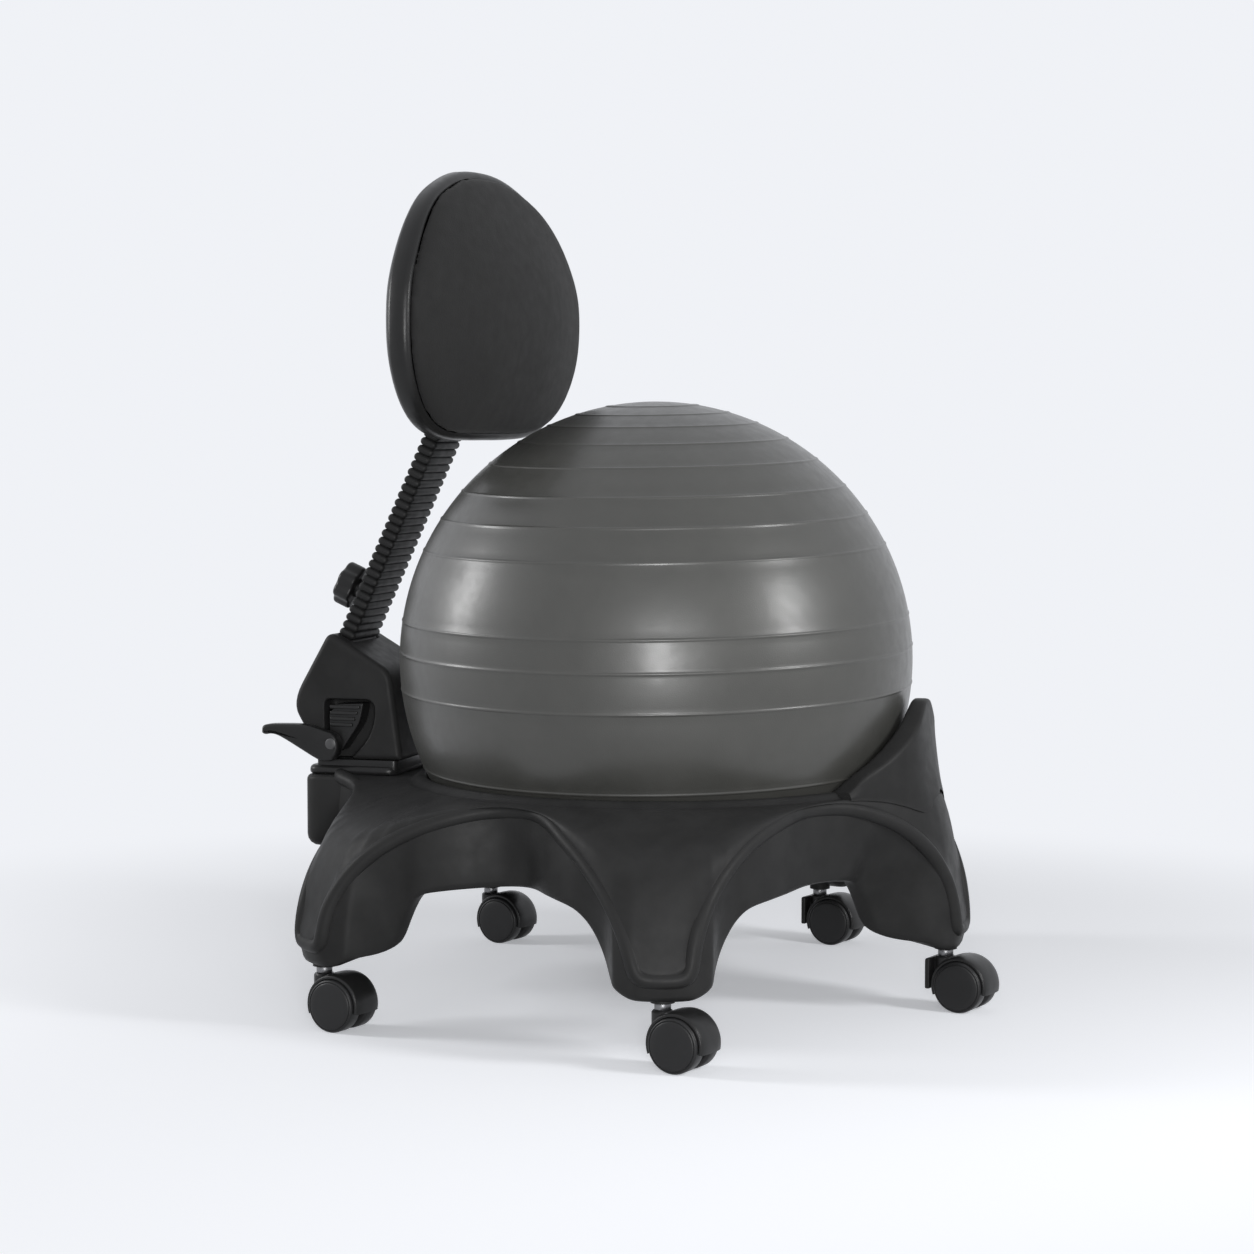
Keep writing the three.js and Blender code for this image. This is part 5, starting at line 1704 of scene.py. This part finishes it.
@dataclass
class Swelling:
    """Swells a closed mesh as a padded cover does, by cloth with air pressure in it.

    Attributes:
        pinned: says which points stay put.
        most: how far a point may move, in millimetres.
        voxel: size of the cloth's mesh, in millimetres.
        pressure: pressure of the air.
        frames: how long it is run.
        smoothing: rounds of smoothing at the end.
    """

    pinned: Callable[[Vector], bool]
    most: float = 6.0
    voxel: float = 2.8
    pressure: float = 4.0
    frames: int = 20
    smoothing: int = 5

    def apply(self, piece: bpy.types.Object) -> None:
        """Runs the cloth on a piece and keeps its result.

        Args:
            piece: the closed piece that swells.
        """
        remesh = piece.modifiers.new("Remesh", "REMESH")
        remesh.mode, remesh.voxel_size = "VOXEL", self.voxel * MM
        settle(piece, math.pi)
        rest = [v.co.copy() for v in piece.data.vertices]
        group = piece.vertex_groups.new(name="held")
        group.add([i for i, p in enumerate(rest) if self.pinned(p)], 1.0, "ADD")
        cloth = piece.modifiers.new("Cloth", "CLOTH")
        cloth.settings.use_pressure = True
        cloth.settings.uniform_pressure_force = self.pressure
        cloth.settings.effector_weights.gravity = 0
        cloth.settings.vertex_group_mass = group.name
        cloth.point_cache.frame_start, cloth.point_cache.frame_end = 1, self.frames
        for number in range(1, self.frames + 1):
            bpy.context.scene.frame_set(number)
        graph = bpy.context.evaluated_depsgraph_get()
        moved = [v.co.copy() for v in piece.evaluated_get(graph).data.vertices]
        piece.modifiers.clear()
        piece.vertex_groups.clear()
        bpy.context.scene.frame_set(1)
        for vertex, before, after in zip(piece.data.vertices, rest, moved):
            step = after - before
            if step.length > self.most * MM:
                step *= self.most * MM / step.length
            vertex.co = before + step
        smooth = piece.modifiers.new("Smooth", "SMOOTH")
        smooth.iterations = self.smoothing
        settle(piece, math.pi)


@dataclass
class Caster:
    """A twin-wheel caster, built in its own frame: stem on +Z, wheels trailing along +X, floor at zero.

    Attributes:
        leg: the leg that it stands under.
        braked: True if it has a brake tab.
        heading: the way that the wheels trail, in degrees from +X.
        trail: the stem to the wheels' axis.
        wheel_radius: radius of the wheels.
        inner: the caster's middle to a wheel's inner face.
        outer: the middle to its outer face.
        hood_radius: the wheels' axis to the hood's outer face.
        hood_wall: thickness of the hood.
        hood_half_width: half its width.
        hood_start: degrees about the axis at which the hood starts.
        hood_end: degrees at which it ends.
        hood_steps: spans along it.
        web_half: half the thickness of the web between the wheels.
        brake_face: the stem to the brake tab's inner face.
        brake_half_width: half the width of the tab.
        brake_ribs: ribs across it.
    """

    leg: Leg
    braked: bool
    heading: float = -105.0
    trail: float = 21.0
    wheel_radius: float = 25.0
    inner: float = 5.0
    outer: float = 22.0
    hood_radius: float = 30.0
    hood_wall: float = 3.2
    hood_half_width: float = 18.0
    hood_start: float = -12.0
    hood_end: float = 200.0
    hood_steps: int = 40
    web_half: float = 3.9
    brake_face: float = -10.6
    brake_half_width: float = 15.0
    brake_ribs: int = 4

    @property
    def place(self) -> Matrix:
        """Where the caster stands."""
        return Matrix.Translation(around(self.leg.reach, self.leg.angle, 0)) @ turn(self.heading, "Z")

    @property
    def hub(self) -> Matrix:
        """The wheels' axis, with +Z along it towards the caster's left."""
        return self.place @ Matrix.Translation((self.trail, 0, self.wheel_radius)) @ turn(-90, "X")

    def hood(self) -> None:
        """Makes the hood: a crowned cover over the wheels, its middle web and the stem's boss."""
        w, r, t = self.hood_half_width, self.hood_radius, self.hood_wall
        across = fillet([
            (-w, r - t - 1.5, 1), (-w, r - 1.6, 1.5), (-w * 0.6, r - 0.2, 8), (w * 0.6, r - 0.2, 8),
            (w, r - 1.6, 1.5), (w, r - t - 1.5, 1), (w - 3, r - t, 1), (-w + 3, r - t, 1),
        ])
        rings = []
        for i in range(self.hood_steps + 1):
            a = math.radians(mix(self.hood_start, self.hood_end, i / self.hood_steps))
            rings.append([Vector((d * math.cos(a), s, d * math.sin(a))) for s, d in across])
        middle = self.place @ Matrix.Translation((self.trail, 0, self.wheel_radius))
        body = Solid().loft(rings, False, middle)
        web_steps = 32
        web = [
            Vector((math.cos(a), math.sin(a))) * (r - t / 2)
            for a in (
                math.radians(mix(self.hood_start, self.hood_end, i / web_steps)) for i in range(web_steps + 1)
            )
        ]
        edges = [(p.x, p.y) for p in web]
        body.slab(edges, -self.web_half, self.web_half, 0.8, 0.8, middle @ turn(90, "X"))
        boss = [(6.4, 30), (9.2, 30), (10, 31), (10, 50.5), (8.8, 52), (6.4, 52)]
        body.turned(boss, 40, self.place)
        name = self.leg.name
        set_in(body.build(f"hood_{name}"), DARK_MOULDING, f"caster_{name}", f"caster_hood_{name}")

    def wheel_profile(self) -> list[Point]:
        """Finds a wheel's profile from its inner to its outer face.

        Returns:
            The profile as radius and height.
        """
        r, w = self.wheel_radius, self.outer - self.inner
        return [
            (0, 0.6), (4, 0.6), (4, 0), (r - 3, 0), (r - 1, 0.8), (r, 2.6), (r, w - 3.4), (r - 0.4, w - 2.0),
            (r - 1.2, w - 1.1), (r - 1.9, w - 0.9), (r - 2.3, w - 1.5), (r - 2.8, w - 1.5), (r - 3.2, w - 0.7),
            (r - 4.2, w - 0.4), (r - 9, w - 0.15), (8, w - 0.02), (0, w),
        ]

    def stem(self) -> None:
        """Makes the stem and its collar."""
        profile = [
            (0, 39), (4.6, 39), (5.5, 40), (5.5, 52.3), (7.1, 52.3), (7.5, 52.9), (7.5, 58.1), (7.1, 58.7), (5.5, 58.7),
            (5.5, 88), (4.5, 89), (0, 89),
        ]
        name = self.leg.name
        stem = Solid().turned(profile, 36, self.place).build(f"stem_{name}")
        set_in(stem, PLATED_STEEL, "base", f"caster_stem_{name}")

    def brake(self) -> None:
        """Makes the brake pedal beside the hood."""
        face, half, lay = self.brake_face, self.brake_half_width, self.place @ turn(90, "X")
        outline = fillet([
            (face - 5, 20, 1.5), (face, 20, 1.5), (face, 45, 1), (face, 50, 1.5), (face - 5, 50, 3), (face - 5, 45, 1),
        ])
        name = self.leg.name
        body = Solid().slab(outline, -half, half, 1.2, 1.2, lay)
        for i in range(self.brake_ribs):
            rib = rounded_rectangle(face - 5.9, face - 4.6, 23 + 5 * i, 25 + 5 * i, 0.6, 3)
            body.slab(rib, 3 - half, half - 3, 0.5, 0.5, lay, 2)
        set_in(body.build(f"brake_{name}"), DARK_MOULDING, f"brake_{name}", f"caster_brake_{name}")

    def build(self) -> None:
        """Makes the whole caster."""
        name = self.leg.name
        self.stem()
        self.hood()
        for side, sign in (("left", 1), ("right", -1)):
            lay = self.hub @ (Matrix.Identity(4) if sign > 0 else turn(180, "X"))
            body = Solid().turned(self.wheel_profile(), 64, lay @ Matrix.Translation((0, 0, self.inner)))
            wheel = body.build(f"wheel_{side}_{name}", math.radians(50))
            set_in(wheel, WHEEL_PLASTIC, f"wheels_{name}", f"caster_wheel_{side}_{name}")
        finish_node(f"caster_axle_{name}", DARK_STEEL)
        if self.braked:
            self.brake()


@dataclass(frozen=True)
class Lamp:
    """A soft lamp that points at the ball.

    Attributes:
        name: its name.
        direction: right, up and towards the camera, as the camera sees it.
        distance: from the ball's centre, in metres.
        width: across, in metres.
        height: its other side, in metres.
        power: in watts.
    """

    name: str
    direction: tuple[float, float, float]
    distance: float
    width: float
    height: float
    power: float


@dataclass
class Studio:
    """The camera, the lamps, the pale world and the floor.

    Attributes:
        camera_place: the camera's place from the foot of the ball's axis, in metres.
        camera_forward: the way that it looks.
        lens: focal length, in millimetres.
        sensor: width of the sensor, in millimetres.
        far: how far the camera sees, in metres.
        backdrop: colour behind the chair.
        ambient: strength of the fill light.
        floor_color: how pale the floor is where it is seen, against the backdrop.
        floor_bounce: how pale it is for the light that it throws back.
        floor_glow: share of the backdrop's own colour in the floor near the chair.
        floor_half: half the floor's width, in metres.
        fade: distances between which the floor turns into the backdrop, in metres.
        lamps: the lamps.
    """

    camera_place: tuple[float, float, float] = (-2.79598, -0.75401, 0.560)
    camera_forward: tuple[float, float, float] = (0.9608, 0.2694, -0.0663)
    lens: float = 83.66
    sensor: float = 36.0
    far: float = 50.0
    backdrop: tuple[float, float, float] = (0.871, 0.887, 0.925)
    ambient: float = 0.17
    floor_color: float = 1.38
    floor_bounce: float = 0.18
    floor_glow: float = 0.34
    floor_half: float = 9.0
    fade: Point = (0.55, 1.35)
    lamps: tuple[Lamp, ...] = (
        Lamp("lamp_left", (-0.94, 0.32, -0.06), 1.9, 0.35, 0.65, 12),
        Lamp("lamp_right", (0.8, 0.32, 0.5), 1.9, 0.35, 0.6, 14.5),
        Lamp("lamp_front", (0.02, -0.01, 1.0), 2.6, 0.25, 0.5, 23.5),
        Lamp("lamp_key", (0.1, 0.15, 1.0), 2.8, 1.4, 1.0, 12),
        Lamp("lamp_top", (0.0, 1.0, -0.1), 2.2, 1.6, 1.6, 1),
    )

    def camera(self) -> None:
        """Makes the camera at the photograph's view."""
        data = bpy.data.cameras.new("view")
        data.lens, data.sensor_width, data.sensor_fit = self.lens, self.sensor, "HORIZONTAL"
        data.clip_end = self.far
        eye = linked("view", data)
        eye.location = AXIS + Vector(self.camera_place)
        eye.rotation_euler = Vector(self.camera_forward).to_track_quat("-Z", "Y").to_euler()
        bpy.context.scene.camera = eye

    def light(self) -> None:
        """Makes the lamps."""
        forward = Vector(self.camera_forward).normalized()
        right = forward.cross(Vector((0, 0, 1))).normalized()
        up = right.cross(forward)
        for lamp in self.lamps:
            data = bpy.data.lights.new(lamp.name, "AREA")
            data.shape, data.size, data.size_y, data.energy = "RECTANGLE", lamp.width, lamp.height, lamp.power
            body = linked(lamp.name, data)
            r, u, t = lamp.direction
            way = (right * r + up * u - forward * t).normalized()
            body.location = CENTRE + way * lamp.distance
            body.rotation_euler = (-way).to_track_quat("-Z", "Y").to_euler()

    @staticmethod
    def seen(tree: bpy.types.NodeTree) -> bpy.types.NodeSocket:
        """Tells what is seen directly, in gloss or through glass from what only gives light.

        Args:
            tree: the nodes of the world or of the floor's material.

        Returns:
            The socket that is 1 for what is seen so, and 0 for other light.
        """
        path = tree.nodes.new("ShaderNodeLightPath")
        value = path.outputs["Is Camera Ray"]
        for key in ("Is Glossy Ray", "Is Transmission Ray"):
            both = tree.nodes.new("ShaderNodeMath")
            both.operation = "MAXIMUM"
            tree.links.new(value, both.inputs[0])
            tree.links.new(path.outputs[key], both.inputs[1])
            value = both.outputs["Value"]
        return value

    def world(self) -> None:
        """Makes the world: a plain fill light that looks pale where it is seen."""
        world = bpy.data.worlds.new("studio")
        world.use_nodes = True
        bpy.context.scene.world = world
        tree = world.node_tree
        fill = tree.nodes["Background"]
        fill.inputs["Color"].default_value = (1, 1, 1, 1)
        fill.inputs["Strength"].default_value = self.ambient
        pale = tree.nodes.new("ShaderNodeBackground")
        pale.inputs["Color"].default_value = (*self.backdrop, 1)
        both = tree.nodes.new("ShaderNodeMixShader")
        tree.links.new(self.seen(tree), both.inputs["Fac"])
        tree.links.new(fill.outputs[0], both.inputs[1])
        tree.links.new(pale.outputs[0], both.inputs[2])
        tree.links.new(both.outputs[0], tree.nodes["World Output"].inputs["Surface"])

    def floor(self) -> None:
        """Makes the floor, which keeps the shadow near the chair and fades into the backdrop."""
        work = bmesh.new()
        bmesh.ops.create_grid(work, x_segments=12, y_segments=12, size=self.floor_half)
        mesh = bpy.data.meshes.new("floor")
        work.to_mesh(mesh)
        work.free()
        floor = linked("floor", mesh)
        material = bpy.data.materials.new("pale_floor")
        material.use_nodes = True
        tree = material.node_tree
        shader = tree.nodes["Principled BSDF"]
        tint = tree.nodes.new("ShaderNodeMix")
        tint.data_type = "RGBA"
        dark, pale = colour_sockets(tint.inputs)
        dark.default_value = (self.floor_bounce, self.floor_bounce, self.floor_bounce, 1)
        pale.default_value = (*[self.floor_color * c / self.backdrop[1] for c in self.backdrop], 1)
        tree.links.new(self.seen(tree), tint.inputs[0])
        tree.links.new(colour_sockets(tint.outputs)[0], shader.inputs["Base Color"])
        shader.inputs["Roughness"].default_value = 0.9
        shader.inputs["Specular IOR Level"].default_value = 0.0
        glow = tree.nodes.new("ShaderNodeEmission")
        glow.inputs["Color"].default_value = (*self.backdrop, 1)
        length = tree.nodes.new("ShaderNodeVectorMath")
        length.operation = "LENGTH"
        tree.links.new(tree.nodes.new("ShaderNodeTexCoord").outputs["Object"], length.inputs[0])
        fade = tree.nodes.new("ShaderNodeMapRange")
        fade.interpolation_type = "SMOOTHSTEP"
        fade.inputs["From Min"].default_value, fade.inputs["From Max"].default_value = self.fade
        fade.inputs["To Min"].default_value = self.floor_glow
        tree.links.new(length.outputs["Value"], fade.inputs["Value"])
        share = tree.nodes.new("ShaderNodeMath")
        share.operation = "MULTIPLY"
        tree.links.new(fade.outputs["Result"], share.inputs[0])
        tree.links.new(self.seen(tree), share.inputs[1])
        both = tree.nodes.new("ShaderNodeMixShader")
        tree.links.new(share.outputs["Value"], both.inputs["Fac"])
        tree.links.new(shader.outputs[0], both.inputs[1])
        tree.links.new(glow.outputs[0], both.inputs[2])
        tree.links.new(both.outputs[0], tree.nodes["Material Output"].inputs["Surface"])
        mesh.materials.append(material)

    def build(self) -> None:
        """Makes the whole studio."""
        bpy.context.scene.view_settings.view_transform = "Standard"
        self.camera()
        self.light()
        self.world()
        self.floor()


def main() -> None:
    """Builds the studio and the chair, piece by piece."""
    logging.basicConfig(level=logging.INFO, format="%(name)s %(message)s")
    Studio().build()
    base = RingBase()
    for part in (Ball(), base, BallStop(base), Carriage(), Latch(), Post(), Backrest()):
        part.build()
    for leg in LEGS:
        Caster(leg, leg.name in ("front", "far_side")).build()


if __name__ == "__main__":
    main()
